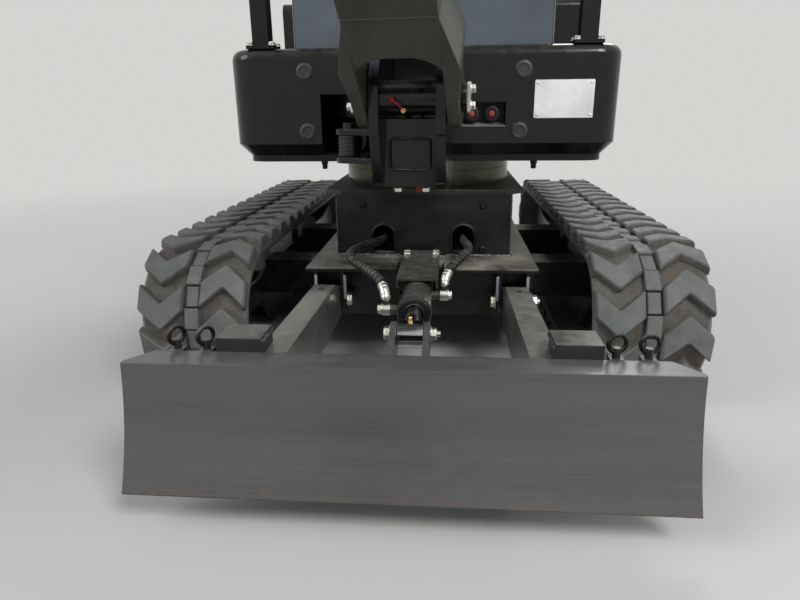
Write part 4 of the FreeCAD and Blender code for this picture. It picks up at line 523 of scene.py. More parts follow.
class Piece:
    """One mesh, put together in place from turned, swept and flat parts."""

    def __init__(self, name):
        self.name = name
        self.mesh = bmesh.new()
        self.slot = 0

    def skin(self, rings, loop=False, slots=None):
        """Faces between rings of points; a ring's stretch may have its own material."""
        made = [[self.mesh.verts.new(point) for point in ring] for ring in rings]
        following = made[1:] + made[:1] if loop else made[1:]
        for first, second in zip(made, following):
            count = len(first)
            for index in range(count):
                after = (index + 1) % count
                face = self.mesh.faces.new((first[index], first[after], second[after], second[index]))
                face.material_index = slots[index] if slots else self.slot
        if not loop:
            for ends in (made[0][::-1], made[-1]):
                self.mesh.faces.new(ends).material_index = self.slot

    def turned(self, spot, axis, profile, steps=28):
        """A turned part: pairs of way along the axis and radius, in millimetres."""
        side, above = sides_of(axis)
        rings = []
        for along, radius in profile:
            ring = []
            for step in range(steps):
                angle = 2 * math.pi * step / steps
                out = side * math.cos(angle) + above * math.sin(angle)
                ring.append(spot + (axis * along + out * radius) / 1000)
            rings.append(ring)
        self.skin(rings)

    def bolt(self, spot, axis, across, height, washer=True, shank=0):
        """Hexagon head on its washer, with a chamfered top."""
        base = 0
        if washer:
            radius = across * 0.72
            base = max(1.5, across * 0.12)
            self.turned(spot, axis, ((0, radius), (base - 0.4, radius), (base, radius - 0.5)))
        side, above = sides_of(axis)
        corner = across / 2 / math.cos(math.radians(30))
        rings = []
        for along, radius in ((base, corner), (base + height * 0.82, corner), (base + height, corner * 0.84)):
            ring = []
            for step in range(6):
                angle = math.radians(60 * step)
                out = side * math.cos(angle) + above * math.sin(angle)
                ring.append(spot + (axis * along + out * radius) / 1000)
            rings.append(ring)
        self.skin(rings)
        if shank:
            top = base + height
            self.turned(spot, axis, ((top - 1, across * 0.3), (top + shank - 1, across * 0.3),
                                     (top + shank, across * 0.24)), 16)

    def swept(self, line, radius, sides=10, loop=False, slots=None):
        """A tube along points in metres; the radius in millimetres may differ from point to point."""
        rings = []
        count = len(line)
        side = None
        for index, point in enumerate(line):
            before = line[index - 1] if index or loop else point
            after = line[(index + 1) % count] if index < count - 1 or loop else point
            way = (after - before).normalized()
            if side is None:
                side = sides_of(way)[0]
            side = (side - way * side.dot(way)).normalized()
            above = way.cross(side)
            size = radius[index] if isinstance(radius, (list, tuple)) else radius
            rings.append([point + (side * math.cos(2 * math.pi * k / sides)
                                   + above * math.sin(2 * math.pi * k / sides)) * size / 1000
                          for k in range(sides)])
        self.skin(rings, loop)

    def plate(self, outline, depth):
        """A flat outline of points in metres, thickened by a vector in millimetres."""
        lifted = [point + depth / 1000 for point in outline]
        self.skin([outline, lifted])

    def done(self, finish, body, bevel=0.0, segments=2, angle=35, parked=False):
        """The finished object, riding on its body. Further finishes fill further slots."""
        if parked:
            bmesh.ops.transform(self.mesh, matrix=parked_turn(), verts=self.mesh.verts[:])
        bmesh.ops.recalc_face_normals(self.mesh, faces=self.mesh.faces[:])
        mesh = bpy.data.meshes.new(self.name)
        self.mesh.to_mesh(mesh)
        self.mesh.free()
        names = (finish,) if isinstance(finish, str) else finish
        for name in names:
            mesh.materials.append(finishes[name])
        mesh.shade_smooth()
        mesh.set_sharp_from_angle(angle=math.radians(angle))
        thing = bpy.data.objects.new(self.name, mesh)
        bpy.context.scene.collection.objects.link(thing)
        if bevel:
            rounding = thing.modifiers.new("edges", "BEVEL")
            rounding.width = bevel / 1000
            rounding.segments = segments
            rounding.limit_method = "ANGLE"
        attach(thing, body)
        return thing


def rounded_rectangle(half_wide, half_high, radius, steps=4):
    """Corner points of a rounded rectangle about zero, in millimetres."""
    points = []
    for turn, (x, y) in enumerate(((1, 1), (-1, 1), (-1, -1), (1, -1))):
        centre = (x * (half_wide - radius), y * (half_high - radius))
        for step in range(steps + 1):
            angle = math.radians(90 * turn + 90 * step / steps)
            points.append((centre[0] + radius * math.cos(angle), centre[1] + radius * math.sin(angle)))
    return points


def bead_line(start, end, pitch=4.0, seed=1):
    """Points and radii of a hand-laid weld bead between two places."""
    chance = random.Random(seed)
    count = max(3, int((end - start).length * 1000 / pitch))
    line, radii = [], []
    for index in range(count + 1):
        wander = Vector((chance.uniform(-1, 1), chance.uniform(-1, 1), chance.uniform(-1, 1))) * 0.0005
        line.append(start.lerp(end, index / count) + wander)
        radii.append(3.4 + 0.9 * (index % 2) + chance.uniform(-0.4, 0.4))
    return line, radii


# Hoses of the blade cylinder: the part's own route points, x, forward, height

LEFT_HOSE = ((-61.3, 728, 268), (-61.3, 728, 300), (-78, 690, 322), (-118, 630, 330), (-160, 565, 334),
             (-176, 500, 336), (-160, 435, 336), (-128, 380, 335), (-110, 330, 333), (-108, 280, 331))
RIGHT_HOSE = ((61.3, 620, 268), (61.3, 620, 298), (74, 590, 322), (98, 545, 336), (118, 490, 338),
              (124, 430, 338), (114, 375, 336), (110, 325, 333), (109, 280, 331))
HOSE_RADIUS = 9


def route_curve(name, route, bevel):
    curve = bpy.data.curves.new(name, "CURVE")
    curve.dimensions = "3D"
    curve.resolution_u = 16
    spline = curve.splines.new("NURBS")
    spline.points.add(len(route) - 1)
    for point, place in zip(spline.points, route):
        point.co = tuple(at(*place)) + (1,)
    spline.order_u = 3
    spline.use_endpoint_u = True
    if bevel:
        curve.bevel_depth = bevel / 1000
        curve.bevel_resolution = 5
        curve.use_fill_caps = True
    thing = bpy.data.objects.new(name, curve)
    bpy.context.scene.collection.objects.link(thing)
    return thing


def line_of(route):
    """Points along the route's own spline, in order."""
    bare = route_curve("bare_route", route, 0)
    bpy.context.view_layer.update()
    mesh = bpy.data.meshes.new_from_object(bare.evaluated_get(bpy.context.evaluated_depsgraph_get()))
    points = [vertex.co.copy() for vertex in mesh.vertices]
    bpy.data.objects.remove(bare)
    return points


def stretch_of(line, start, end):
    """The part of a line between two ways along it, in metres, evenly divided."""
    ways = [0.0]
    for before, after in zip(line, line[1:]):
        ways.append(ways[-1] + (after - before).length)
    count = max(2, int((end - start) / 0.0008))
    points = []
    index = 0
    for step in range(count + 1):
        way = start + (end - start) * step / count
        while index < len(ways) - 2 and ways[index + 1] < way:
            index += 1
        share = (way - ways[index]) / max(1e-9, ways[index + 1] - ways[index])
        points.append(line[index].lerp(line[index + 1], min(1, share)))
    return points, ways[-1]


def spiral_guard(name, line, start, end):
    """A ribbon wound round the hose, one turn each 15 mm."""
    points, whole = stretch_of(line, start, end)
    piece = Piece(name)
    radius_in, radius_out, ribbon, pitch = 9.2, 11.0, 11.5, 15.0
    rings = []
    side = None
    for index, point in enumerate(points):
        way = (points[min(index + 1, len(points) - 1)] - points[max(index - 1, 0)]).normalized()
        if side is None:
            side = sides_of(way)[0]
        side = (side - way * side.dot(way)).normalized()
        above = way.cross(side)
        angle = 2 * math.pi * index * 0.8 / pitch
        out = side * math.cos(angle) + above * math.sin(angle)
        rings.append([point + (out * radius + way * along) / 1000 for radius, along in
                      ((radius_in, -ribbon / 2), (radius_out - 0.5, -ribbon / 2), (radius_out, -ribbon / 2 + 1.5),
                       (radius_out, ribbon / 2 - 1.5), (radius_out - 0.5, ribbon / 2), (radius_in, ribbon / 2))])
    piece.skin(rings)
    return piece.done("guard_spiral", "blade_barrel_body")


def banjo(name, side, route):
    """Banjo fitting on the barrel's port, its bolt, stem and the hose's crimped ferrule."""
    x, forward, height = route[0]
    out = LEFT if side > 0 else RIGHT
    eye = Piece(name)
    port = at(side * 52, forward, height)
    eye.turned(port, out, ((0, 12), (1, 14), (17, 14), (18, 12)))
    eye.bolt(port + out * 0.018, out, 19, 8)
    eye.turned(port + out * 0.0093, UP, ((0, 7), (22, 7), (22, 10), (26, 10), (26, 8)))
    eye.done("zinc", "blade_barrel_body", 0.6)
    line = line_of(route)
    points, whole = stretch_of(line, 0.024, 0.058)
    cuff = Piece(name + "_ferrule")
    radii = []
    for index in range(len(points)):
        share = index / (len(points) - 1)
        grip = 1.0 if 0.1 < share < 0.9 and int(share * 9) % 2 else 0.0
        radii.append(11.6 - grip * 0.7 - (1.5 if share > 0.96 or share < 0.03 else 0))
    cuff.swept(points, radii, 24)
    return cuff.done("zinc", "blade_barrel_body"), line


def dress_hose(name, node, route, side):
    cuff, line = banjo("banjo_" + name, side, route)
    length = sum((after - before).length for before, after in zip(line, line[1:]))
    guard = spiral_guard("spiral_" + name, line, 0.060, length - 0.055)
    hose = route_curve("hose_" + name, route, HOSE_RADIUS)
    hose.data.materials.append(finishes["hose_rubber"])
    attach(hose, "blade_barrel_body")
    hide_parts(node)


# Rubber treads

AXLE_HEIGHT = 187
FRONT_AXLE, REAR_AXLE = 505, -690
BELT_INNER, BELT_OUTER, CREST = 143, 167, 187
PITCH_RADIUS = (BELT_INNER + BELT_OUTER) / 2
RUN = FRONT_AXLE - REAR_AXLE
LOOP = 2 * RUN + 2 * math.pi * PITCH_RADIUS
LUGS = 36
TRACK_MIDDLE, TRACK_HALF = 522.5, 127.5


def belt_place(x, travel, radius):
    """A place on the track's loop, from the way along it and the distance from its axles' line."""
    travel = travel % LOOP
    bend = math.pi * PITCH_RADIUS
    if travel < RUN:
        return at(x, REAR_AXLE + travel, AXLE_HEIGHT + radius)
    if travel < RUN + bend:
        angle = math.pi / 2 - (travel - RUN) / PITCH_RADIUS
        return at(x, FRONT_AXLE + radius * math.cos(angle), AXLE_HEIGHT + radius * math.sin(angle))
    if travel < 2 * RUN + bend:
        return at(x, FRONT_AXLE - (travel - RUN - bend), AXLE_HEIGHT - radius)
    angle = -math.pi / 2 - (travel - 2 * RUN - bend) / PITCH_RADIUS
    return at(x, REAR_AXLE + radius * math.cos(angle), AXLE_HEIGHT + radius * math.sin(angle))


def add_belt(piece, middle):
    rings = []
    steps = 160
    wide = TRACK_HALF
    section = ((-wide, BELT_INNER + 7), (-wide + 5, BELT_INNER), (wide - 5, BELT_INNER), (wide, BELT_INNER + 7),
               (wide, BELT_OUTER - 8), (wide - 9, BELT_OUTER), (0, BELT_OUTER - 1), (-wide + 9, BELT_OUTER),
               (-wide, BELT_OUTER - 8))
    for step in range(steps):
        travel = LOOP * step / steps
        rings.append([belt_place(middle + x, travel, radius) for x, radius in section])
    piece.skin(rings, loop=True, slots=(1, 0, 1, 0, 0, 1, 1, 0, 0))


def add_chevron(piece, x_from, x_to, travel, reach, drop):
    """One tread lug: a V across its column, with sloped flanks and eased edges."""
    root, crest = 30, 24
    apex = (x_from + x_to) / 2
    stations = ((x_from, -0.5, 4), (x_from + 4, -0.43, 0), (apex - 3, 0.46, 0), (apex + 3, 0.46, 0),
                (x_to - 4, -0.43, 0), (x_to, -0.5, 4))
    rings = []
    for x, share, lowered in stations:
        middle = travel + reach * share
        top = CREST - drop - lowered
        profile = ((-root, BELT_OUTER - 2), (-crest - 2, top - 3.5), (-crest + 1.5, top), (crest - 1.5, top),
                   (crest + 2, top - 3.5), (root, BELT_OUTER - 2))
        rings.append([belt_place(x, middle + along, radius) for along, radius in profile])
    piece.skin(rings, slots=(1, 0, 0, 0, 1, 1))


def add_pad(piece, middle, half_wide, travel, half_long, top):
    """A flat block of the middle row, with eased edges."""
    rings = []
    for inset, radius in ((0, BELT_OUTER - 3), (0, top - 2), (2, top)):
        wide, long = half_wide - inset, half_long - inset
        rings.append([belt_place(middle - wide, travel - long, radius), belt_place(middle + wide, travel - long, radius),
                      belt_place(middle + wide, travel + long, radius), belt_place(middle - wide, travel + long, radius)])
    piece.skin(rings)


def tread(side, node, body):
    """Two columns of chevrons, half a pitch apart and one pointing each way, and a middle row of pads."""
    chance = random.Random(side + 7)
    piece = Piece(node + "_tread")
    middle = side * TRACK_MIDDLE
    add_belt(piece, middle)
    pitch = LOOP / LUGS
    for count in range(LUGS):
        travel = (count - 0.15) * pitch
        wear = chance.uniform(0, 0.8)
        add_chevron(piece, middle - TRACK_HALF, middle - 20, travel, 40, wear)
        add_chevron(piece, middle + 20, middle + TRACK_HALF, travel + pitch * 0.5, -40, wear)
        add_pad(piece, middle, 17, travel + pitch * 0.25, pitch * 0.25 - 1.6, CREST - 7)
        add_pad(piece, middle, 15, travel + pitch * 0.75, pitch * 0.25 - 1.6, CREST - 11)
    thing = piece.done(("track_rubber", "track_flank"), body)
    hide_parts(node)


# Undercarriage and blade fittings

def centre_fittings():
    bolts = Piece("box_bolts")
    for x, height in ((-165, 425), (163, 425), (-166, 306), (163, 303)):
        bolts.turned(at(x, 310, height), AHEAD, ((0, 11), (1.6, 11), (1.6, 8.5), (4.5, 8), (6.5, 5.5), (5, 4), (4.8, 0.4)))
    bolts.done("frame_black", "root")
    rims = Piece("arch_rims")
    for side in (-1, 1):
        line = [at(side * 110 - 32, 311, 293), at(side * 110 - 32, 311, 316)]
        for step in range(17):
            angle = math.pi * (1 - step / 16)
            line.append(at(side * 110 + 32 * math.cos(angle), 311, 339 + 32 * math.sin(angle)))
        line += [at(side * 110 + 32, 311, 316), at(side * 110 + 32, 311, 293)]
        rims.swept(line, 4.2, 10)
    rims.done("frame_black", "root")
    welds = Piece("box_welds")
    for seed, (start, end) in enumerate((
            (at(-240, 312, 286), at(-64, 312, 286)), (at(64, 312, 286), at(240, 312, 286)),
            (at(-242, 310, 286), at(-242, -308, 286)), (at(242, 310, 286), at(242, -308, 286)),
            (at(-239, 311, 288), at(-239, 311, 452)), (at(239, 311, 288), at(239, 311, 452)))):
        line, radii = bead_line(start, end, seed=seed)
        welds.swept(line, radii if seed < 4 else 2.2, 8)
    welds.done("weld", "root")


def blade_pivots():
    bolts = Piece("blade_pivot_bolts")
    for side in (-1, 1):
        out = LEFT * side
        bolts.bolt(at(side * 286, 440, 195), out, 30, 14, shank=6)
        bolts.bolt(at(side * 195, 440, 195), -out, 28, 10)
    bolts.done("zinc", "root", 0.5)
    # Painted highlights: thin bluish metal strips on the lugs' front edges stand for the sky's reflection.
    edges = Piece("lug_painted_highlights")
    for x in (-273, -197, 197, 273):
        edges.plate([at(x - 3.5, 465, 204), at(x + 3.5, 465, 204), at(x + 3.5, 465, 268), at(x - 3.5, 465, 268)],
                    AHEAD * 0.8)
    edges.done("bare_steel", "root", 0.2)


def cylinder_fittings():
    guard = Piece("guard_bolts")
    for side in (-1, 1):
        guard.bolt(at(side * 38, 388, 309), UP, 17, 8)
    guard.done("zinc", "blade_barrel_body", 0.4)
    clevis = Piece("blade_clevis_bolt")
    clevis.bolt(at(-38, 870, 268), RIGHT, 24, 11)
    clevis.bolt(at(38, 870, 268), LEFT, 22, 10, shank=7)
    clevis.done("zinc", "blade_body", 0.5)
    nipple = Piece("rod_eye_nipple")
    nipple.turned(at(0, 872, 293), UP, ((-2, 5), (2, 5), (2, 3.2), (6, 3.2), (8, 4), (10, 3), (11, 0.5)), 16)
    nipple.done("brass", "blade_rod_body")
    wiper = Piece("blade_wiper")
    run = (at(0, 870, 268) - at(0, 360, 265)).normalized()
    gland = at(0, 360, 265) + run * 0.390
    wiper.turned(gland, run, ((-1, 34), (1, 34), (3, 31), (3, 22), (6, 20.5), (6, 18.6), (-1, 18.4)), 40)
    wiper.done("frame_black", "blade_barrel_body")


def ring_pins():
    """Ring handles through the stems behind the blade's lip, and weld beads along the brackets."""
    chance = random.Random(4)
    rings = Piece("pin_rings")
    for x, lean in ((-407, 62), (-354, 58), (354, 12), (407, 6)):
        centre = at(x, 994, 305)
        turn = math.radians(lean + chance.uniform(-3, 3))
        across = Vector((math.cos(turn), math.sin(turn), 0))
        line = []
        for step in range(28):
            angle = 2 * math.pi * step / 28
            line.append(centre + (across * math.cos(angle) + UP * math.sin(angle)) * 0.0155)
        rings.swept(line, 4.0, 12, loop=True)
    rings.done("frame_black", "blade_body")
    welds = Piece("bracket_welds")
    for side in (-1, 1):
        for seed, (start, end) in enumerate(((at(side * 250, 942, 300), at(side * 250, 1008, 300)),
                                             (at(side * 266, 1001, 278), at(side * 266, 1001, 200)),
                                             (at(side * 212, 1001, 278), at(side * 212, 1001, 200)))):
            line, radii = bead_line(start, end, seed=seed + 11)
            welds.swept(line, radii, 8)
    welds.done("weld", "blade_body")


def track_fittings():
    """Hub caps, motor bolts, roller caps and the tensioner's cover on the outer side of each frame."""
    for side, name in ((1, "left"), (-1, "right")):
        body = name + "_track_body"
        out = LEFT * side
        outer = side * (TRACK_MIDDLE + 60)
        caps = Piece(name + "_hub_caps")
        caps.turned(at(outer, FRONT_AXLE, AXLE_HEIGHT), out, ((-1, 30), (3, 30), (5, 28), (6, 14), (8, 12), (8, 0.5)))
        caps.turned(at(outer - side * 11, REAR_AXLE, AXLE_HEIGHT), out,
                    ((0, 70), (6, 70), (9, 66), (9, 44), (12, 40), (12, 0.5)), 48)
        for forward in (-331.5, -92.5, 146.5):
            caps.turned(at(outer, forward, 82.3), out, ((-1, 17), (3, 17), (5, 14), (5, 0.5)))
        caps.done("frame_black", body)
        bolts = Piece(name + "_track_bolts")
        for step in range(8):
            angle = 2 * math.pi * step / 8
            bolts.bolt(at(outer - side * 2, REAR_AXLE + 55 * math.cos(angle), AXLE_HEIGHT + 55 * math.sin(angle)),
                       out, 13, 5, washer=False)
        for forward, height in ((395, 205), (395, 170)):
            bolts.bolt(at(outer, forward, height), out, 13, 5)
        bolts.done("zinc", body, 0.3)
        cover = Piece(name + "_tensioner_cover")
        cover.plate([at(outer, 250 + y, 172 + z) for y, z in rounded_rectangle(46, 24, 10)], out * 3)
        cover.done("frame_black", body, 0.8)


# Upper front

def front_panel_fittings():
    plugs = Piece("panel_plugs")
    for x, height in ((-281, 764), (-280, 625), (240, 763), (236, 624)):
        plugs.turned(at(x, 429.5, height), AHEAD, ((0, 21), (2, 20.5), (4.5, 17), (5, 13), (3.6, 11), (3.6, 0.5)), 36)
    plugs.done("plug_grey", "upper_body")
    plate = Piece("blank_plate")
    plate.plate([at(337 + x, 430, 696 + z) for x, z in rounded_rectangle(69, 43, 3)], AHEAD * 1.2)
    plate.done("white_plate", "upper_body", 0.3)
    rivets = Piece("plate_rivets")
    for x in (-62, 62):
        for z in (-36, 36):
            rivets.turned(at(337 + x, 431.2, 696 + z), AHEAD, ((-0.5, 3), (0.8, 2.7), (1.4, 1.5), (1.5, 0.3)), 14)
    rivets.done("zinc", "upper_body")
    couplings = Piece("coupling_collars")
    centres = Piece("coupling_centres")
    for x in (122, 170):
        couplings.turned(at(x, 418, 664), AHEAD, ((-1, 17), (2, 18), (5, 18), (6, 16), (6, 9), (2, 8.5), (2, 0.5)), 32)
        centres.turned(at(x, 420, 664), AHEAD, ((0, 7.5), (2.5, 7), (3.5, 5), (3.6, 0.5)), 24)
    couplings.done("dark_plastic", "upper_body")
    centres.done("orange", "upper_body")
    lip = Piece("recess_lip")
    lip.plate([at(92, 431, 634), at(202, 431, 634), at(202, 402, 642), at(92, 402, 642)], UP * 2)
    lip.done("arm_grey", "upper_body", 0.6)
    studs = Piece("deck_studs")
    for x in (-262, 288):
        studs.turned(at(x, 330, 551), DOWN, ((0, 9), (12, 9), (14, 7), (24, 7), (26, 5), (26, 0.5)), 20)
    studs.done("frame_black", "upper_body")


def post_foot_bolts():
    bolts = Piece("post_foot_bolts")
    for side in (-1, 1):
        for x, forward in ((-27, 411), (27, 411), (-27, 366), (27, 366)):
            bolts.bolt(at(side * 388 + x, forward, 826 if forward > 400 else 826), UP, 13, 7)
    bolts.done("zinc", "upper_body", 0.3)


def swing_post_fittings():
    caps = Piece("grease_caps")
    caps.turned(at(-44, 713, 697), (AHEAD + UP * 0.4).normalized(), ((-2, 5), (4, 5), (8, 4), (10, 2), (10.5, 0.4)), 18)
    caps.swept([at(-44, 720, 698), at(-37, 724, 692), at(-29, 722, 685), at(-24, 718, 680)], 1.3, 8)
    caps.turned(at(5, 640, 517), DOWN, ((-2, 6), (6, 6), (9, 4), (10, 0.5)), 18)
    caps.done("red_cap", "swing_post_body")
    nipple = Piece("post_nipples")
    nipple.turned(at(-22, 711, 677), (AHEAD + DOWN * 0.3).normalized(),
                  ((0, 5), (3, 5), (3, 3.2), (8, 3.2), (10, 4), (12, 3), (13, 0.5)), 16)
    nipple.done("brass", "swing_post_body")
    bolts = Piece("post_bolts")
    bolts.bolt(at(-40, 640, 517), DOWN, 15, 8)
    bolts.bolt(at(20, 640, 517), DOWN, 15, 8)
    bolts.done("zinc", "swing_post_body", 0.4)
    pins = Piece("foot_pin_retainers")
    for side in (-1, 1):
        out = LEFT * side
        pins.plate([at(side * 115, 680 + y, 700 + z) for y, z in rounded_rectangle(12, 30, 6)], out * 6)
        pins.bolt(at(side * 121, 680, 716), out, 16, 8)
        pins.bolt(at(side * 121, 680, 684), out, 16, 8)
    pins.done("zinc", "swing_post_body", 0.5, parked=True)
    recess = Piece("post_recess_rim")
    outline = [at(x, 690, 590 + z) for x, z in rounded_rectangle(42, 31, 8)]
    recess.swept(outline, 2.5, 8, loop=True)
    recess.done("frame_black", "swing_post_body", parked=True)
    ribs = Piece("swing_eye_ribs")
    for height in range(582, 620, 8):
        ribs.turned(at(-150, 595, height), UP, ((0, 25.5), (1, 28), (3.4, 28), (4.4, 25.5)), 40)
    ribs.done("eye_grey", "swing_rod_body", parked=True)


def boom_foot_welds():
    """The bead across the boom's underside, where its foot ears run into the box."""
    leg = math.radians(45.75)
    along, below = 233, 66
    forward = 680 + along * math.cos(leg) + below * math.sin(leg)
    height = 700 + along * math.sin(leg) - below * math.cos(leg)
    weld = Piece("boom_foot_weld")
    line, radii = bead_line(at(-80, forward, height), at(80, forward, height), seed=21)
    weld.swept(line, [radius * 0.8 for radius in radii], 8)
    weld.done("boom_olive", "boom_body", parked=True)


def work_pin_caps():
    """Cover discs and bolts on the ends of the boom's, arm's and bucket's pins."""
    joints = {joint["name"]: joint for joint in frame["joints"]}
    for name, half, radius, body in (("arm_crowd", 82, 32, "boom_body"), ("rocker_turn", 82, 20, "arm_body"),
                                     ("bucket_curl", 100, 25, "bucket_body"), ("link_turn", 100, 22, "bucket_body")):
        axis = Vector(joints[name]["axis"])
        caps = Piece(name + "_pin_caps")
        bolts = Piece(name + "_pin_bolts")
        for out in (axis, -axis):
            end = Vector(joints[name]["pos_m"]) + out * half / 1000
            caps.turned(end, out, ((-1.5, radius), (3, radius), (5, radius - 2.5), (5, 0.5)), 32)
            bolts.bolt(end + out * 0.005, out, 17, 7)
        caps.done("frame_black", body)
        bolts.done("zinc", body, 0.4)


# Operator's place and roof

BELLOWS = ((0, 27), (6, 27), (10, 21), (15, 24), (20, 18), (25, 21), (30, 15), (35, 17), (41, 11), (50, 10.5))


def lever_fittings():
    """Bellows, ribbed grips and thumb buttons of the console levers, and bellows of the travel levers."""
    boots = Piece("lever_bellows")
    grips = Piece("grip_ribs")
    buttons = Piece("grip_buttons")
    for side in (-1, 1):
        boots.turned(at(side * 280, -210, 1184), UP, BELLOWS)
        low, high = at(side * 45, 160, 670), at(side * 60, 100, 1180)
        way = (high - low).normalized()
        boots.turned(low + way * 0.013, way, BELLOWS)
        for level in range(1274, 1370, 12):
            grips.turned(at(side * 280, -210, level), UP, ((0, 19.5), (1.5, 21.4), (5, 21.4), (6.5, 19.5)))
        buttons.turned(at(side * 280, -210, 1379), UP, ((-1, 9), (2, 9), (3.5, 7), (3.5, 0.5)), 24)
    boots.done("grip_rubber", "upper_body", angle=60)
    grips.done("grip_rubber", "upper_body", angle=60)
    buttons.done("plug_grey", "upper_body")


def floor_mat():
    """Ribbed rubber mat between the seat box and the pedals."""
    mat = Piece("floor_mat")
    mat.plate([at(x, y - 42, 660.2) for x, y in rounded_rectangle(330, 98, 18)], UP * 2.5)
    for forward in range(-126, 52, 12):
        mat.plate([at(-316, forward, 662), at(-316, forward + 5, 662), at(316, forward + 5, 662),
                   at(316, forward, 662)], UP * 3)
    mat.done("grip_rubber", "upper_body", 0.6)


def hood_latch():
    """Round lock with its folding handle on the hood's back."""
    latch = Piece("hood_latch")
    latch.turned(at(0, -799.5, 915), BEHIND, ((-1, 24), (3, 24), (5, 21), (5, 0.5)), 40)
    latch.plate([at(x, -804, 915 + z) for x, z in rounded_rectangle(7, 19, 6)], BEHIND * 5)
    latch.done("zinc", "upper_body", 0.5)


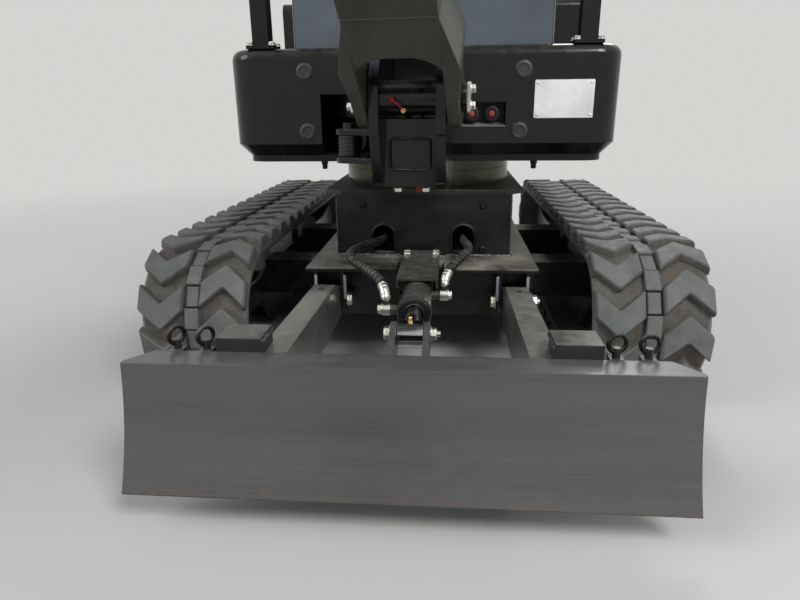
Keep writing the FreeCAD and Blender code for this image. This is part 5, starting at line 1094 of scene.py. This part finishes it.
class Pad:
    """A vinyl cushion about its middle: crowned on its face, filled by cloth pressure, then sewn."""

    def __init__(self, name, middle, across, along, face, half, crown):
        self.name = name
        self.middle = middle
        self.turn = Matrix((across, along, face)).transposed()
        self.half = half
        self.crown = crown
        self.skin = self.blank()

    def world(self, x, y, z):
        return self.middle + self.turn @ Vector((x, y, z)) / 1000

    def blank(self):
        """A rounded block, a little smaller than the pad, whose sides pull in between its corners."""
        mesh = bmesh.new()
        bmesh.ops.create_cube(mesh, size=2)
        bmesh.ops.subdivide_edges(mesh, edges=mesh.edges[:], cuts=18, use_grid_fill=True)
        wide, long, deep = (side - 7 for side in self.half)
        ease = 26
        for vertex in mesh.verts:
            point = Vector((vertex.co.x * wide, vertex.co.y * long, vertex.co.z * deep))
            inner = Vector((max(ease - wide, min(wide - ease, point.x)), max(ease - long, min(long - ease, point.y)),
                            max(ease - deep, min(deep - ease, point.z))))
            out = point - inner
            if out.length > 0:
                point = inner + out.normalized() * ease
            over_x, over_y = point.x / wide, point.y / long
            if vertex.co.z > 0:
                point.z += self.crown * (1 - over_x ** 2) * (1 - over_y ** 2)
            point.x *= 1 - 0.03 * (1 - over_y ** 2)
            point.y *= 1 - 0.025 * (1 - over_x ** 2)
            vertex.co = self.world(*point)
        data = bpy.data.meshes.new(self.name)
        mesh.to_mesh(data)
        mesh.free()
        thing = bpy.data.objects.new(self.name, data)
        bpy.context.scene.collection.objects.link(thing)
        return thing

    def settle(self, kind, prepare):
        """Run one modifier and keep its result as the mesh."""
        modifier = self.skin.modifiers.new("step", kind)
        prepare(modifier)
        if kind == "CLOTH":
            for step in range(1, 21):
                bpy.context.scene.frame_set(step)
        bpy.context.view_layer.update()
        shaped = bpy.data.meshes.new_from_object(self.skin.evaluated_get(bpy.context.evaluated_depsgraph_get()))
        self.skin.modifiers.remove(modifier)
        self.skin.data = shaped
        bpy.context.scene.frame_set(1)

    def fill(self, cap):
        """Remesh, blow up by cloth pressure, and keep each point within the cap, in millimetres."""
        def remesh(modifier):
            modifier.mode = "VOXEL"
            modifier.voxel_size = 0.006

        def cloth(modifier):
            modifier.settings.use_pressure = True
            modifier.settings.uniform_pressure_force = 4
            modifier.settings.effector_weights.gravity = 0
            modifier.point_cache.frame_end = 20

        self.settle("REMESH", remesh)
        before = [vertex.co.copy() for vertex in self.skin.data.vertices]
        self.settle("CLOTH", cloth)
        for vertex, start in zip(self.skin.data.vertices, before):
            move = vertex.co - start
            if move.length > cap / 1000:
                vertex.co = start + move.normalized() * cap / 1000

    def press(self, channels, depth, width):
        """Channels sewn along the face, from front to back."""
        back = self.turn.transposed()
        for vertex in self.skin.data.vertices:
            point = back @ (vertex.co - self.middle) * 1000
            if point.z < 0 or abs(point.y) > self.half[1] - 26:
                continue
            fade = min(1, (self.half[1] - 26 - abs(point.y)) / 30)
            for channel in channels:
                way = (point.x - channel) / width
                point.z -= depth * fade * math.exp(-way * way)
            vertex.co = self.world(*point)

    def on_skin(self, x, y, z):
        """The nearest place on the pad, and the way out of it."""
        found, place, normal, face = self.skin.closest_point_on_mesh(self.world(x, y, z))
        return place, normal

    def piping(self):
        """The welt round the face's edge."""
        wide, long, deep = self.half
        line = []
        for x, y in rounded_rectangle(wide, long, 40, 8):
            place, normal = self.on_skin(x, y, deep - 26)
            line.append(place + normal * 0.0012)
        tube = Piece(self.name + "_welt")
        tube.swept(line, 3.2, 8, loop=True)
        return tube.done("seat_vinyl", "upper_body")

    def stitches(self, channels):
        thread = Piece(self.name + "_stitches")
        reach = self.half[1] - 40
        for channel in channels:
            for side in (-4.5, 4.5):
                way = -reach
                while way < reach:
                    first, normal = self.on_skin(channel + side, way, self.half[2])
                    second, normal = self.on_skin(channel + side, way + 4.5, self.half[2])
                    thread.swept([first + normal * 0.0001, second + normal * 0.0001], 0.6, 5)
                    way += 7
        return thread.done("seat_thread", "upper_body")

    def done(self, node, fill):
        self.skin.data.materials.clear()
        self.skin.data.materials.append(finishes["seat_vinyl"])
        self.skin.data.shade_smooth()
        self.skin.modifiers.new("smooth", "SUBSURF").levels = 1
        self.skin.modifiers["smooth"].render_levels = 1
        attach(self.skin, "upper_body")
        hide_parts(node)


def padded_seat():
    channels = (-110, -37, 37, 110)
    cushion = Pad("seat_cushion_pad", at(0, -360, 1054), LEFT, BEHIND, UP, (219, 199, 54), 0)
    back = Pad("seat_backrest_pad", at(0, -485, 1326), LEFT, DOWN, AHEAD, (219, 214, 44), 0)
    for pad, node, crown in ((cushion, "seat_cushion", 6), (back, "seat_backrest", 5)):
        pad.fill(7)
        pad.press(channels, 5, 7)
        pad.piping()
        pad.stitches(channels)
        pad.done(node, 0.8)

def lamp_lenses():
    lenses = Piece("lamp_lenses")
    rims = Piece("lamp_rims")
    for side in (-1, 1):
        spot = at(side * 300, 490, 2180)
        lenses.turned(spot, AHEAD, ((-6, 36), (0.5, 36), (3, 30), (5, 18), (5.5, 0.5)), 40)
        rims.turned(spot, AHEAD, ((-8, 42.5), (4, 42.5), (6, 40), (5, 36.5), (-6, 36)), 40)
    lenses.done("lens", "upper_body")
    rims.done("dark_plastic", "upper_body")


def main():
    aim_camera()
    dress_hose("left", "blade_hose_left", LEFT_HOSE, -1)
    dress_hose("right", "blade_hose_right", RIGHT_HOSE, 1)
    set_studio()
    finish_nodes()
    tread(1, "left_track", "left_track_body")
    tread(-1, "right_track", "right_track_body")
    centre_fittings()
    blade_pivots()
    cylinder_fittings()
    ring_pins()
    track_fittings()
    front_panel_fittings()
    post_foot_bolts()
    swing_post_fittings()
    boom_foot_welds()
    work_pin_caps()
    lamp_lenses()
    lever_fittings()
    floor_mat()
    hood_latch()
    padded_seat()


main()
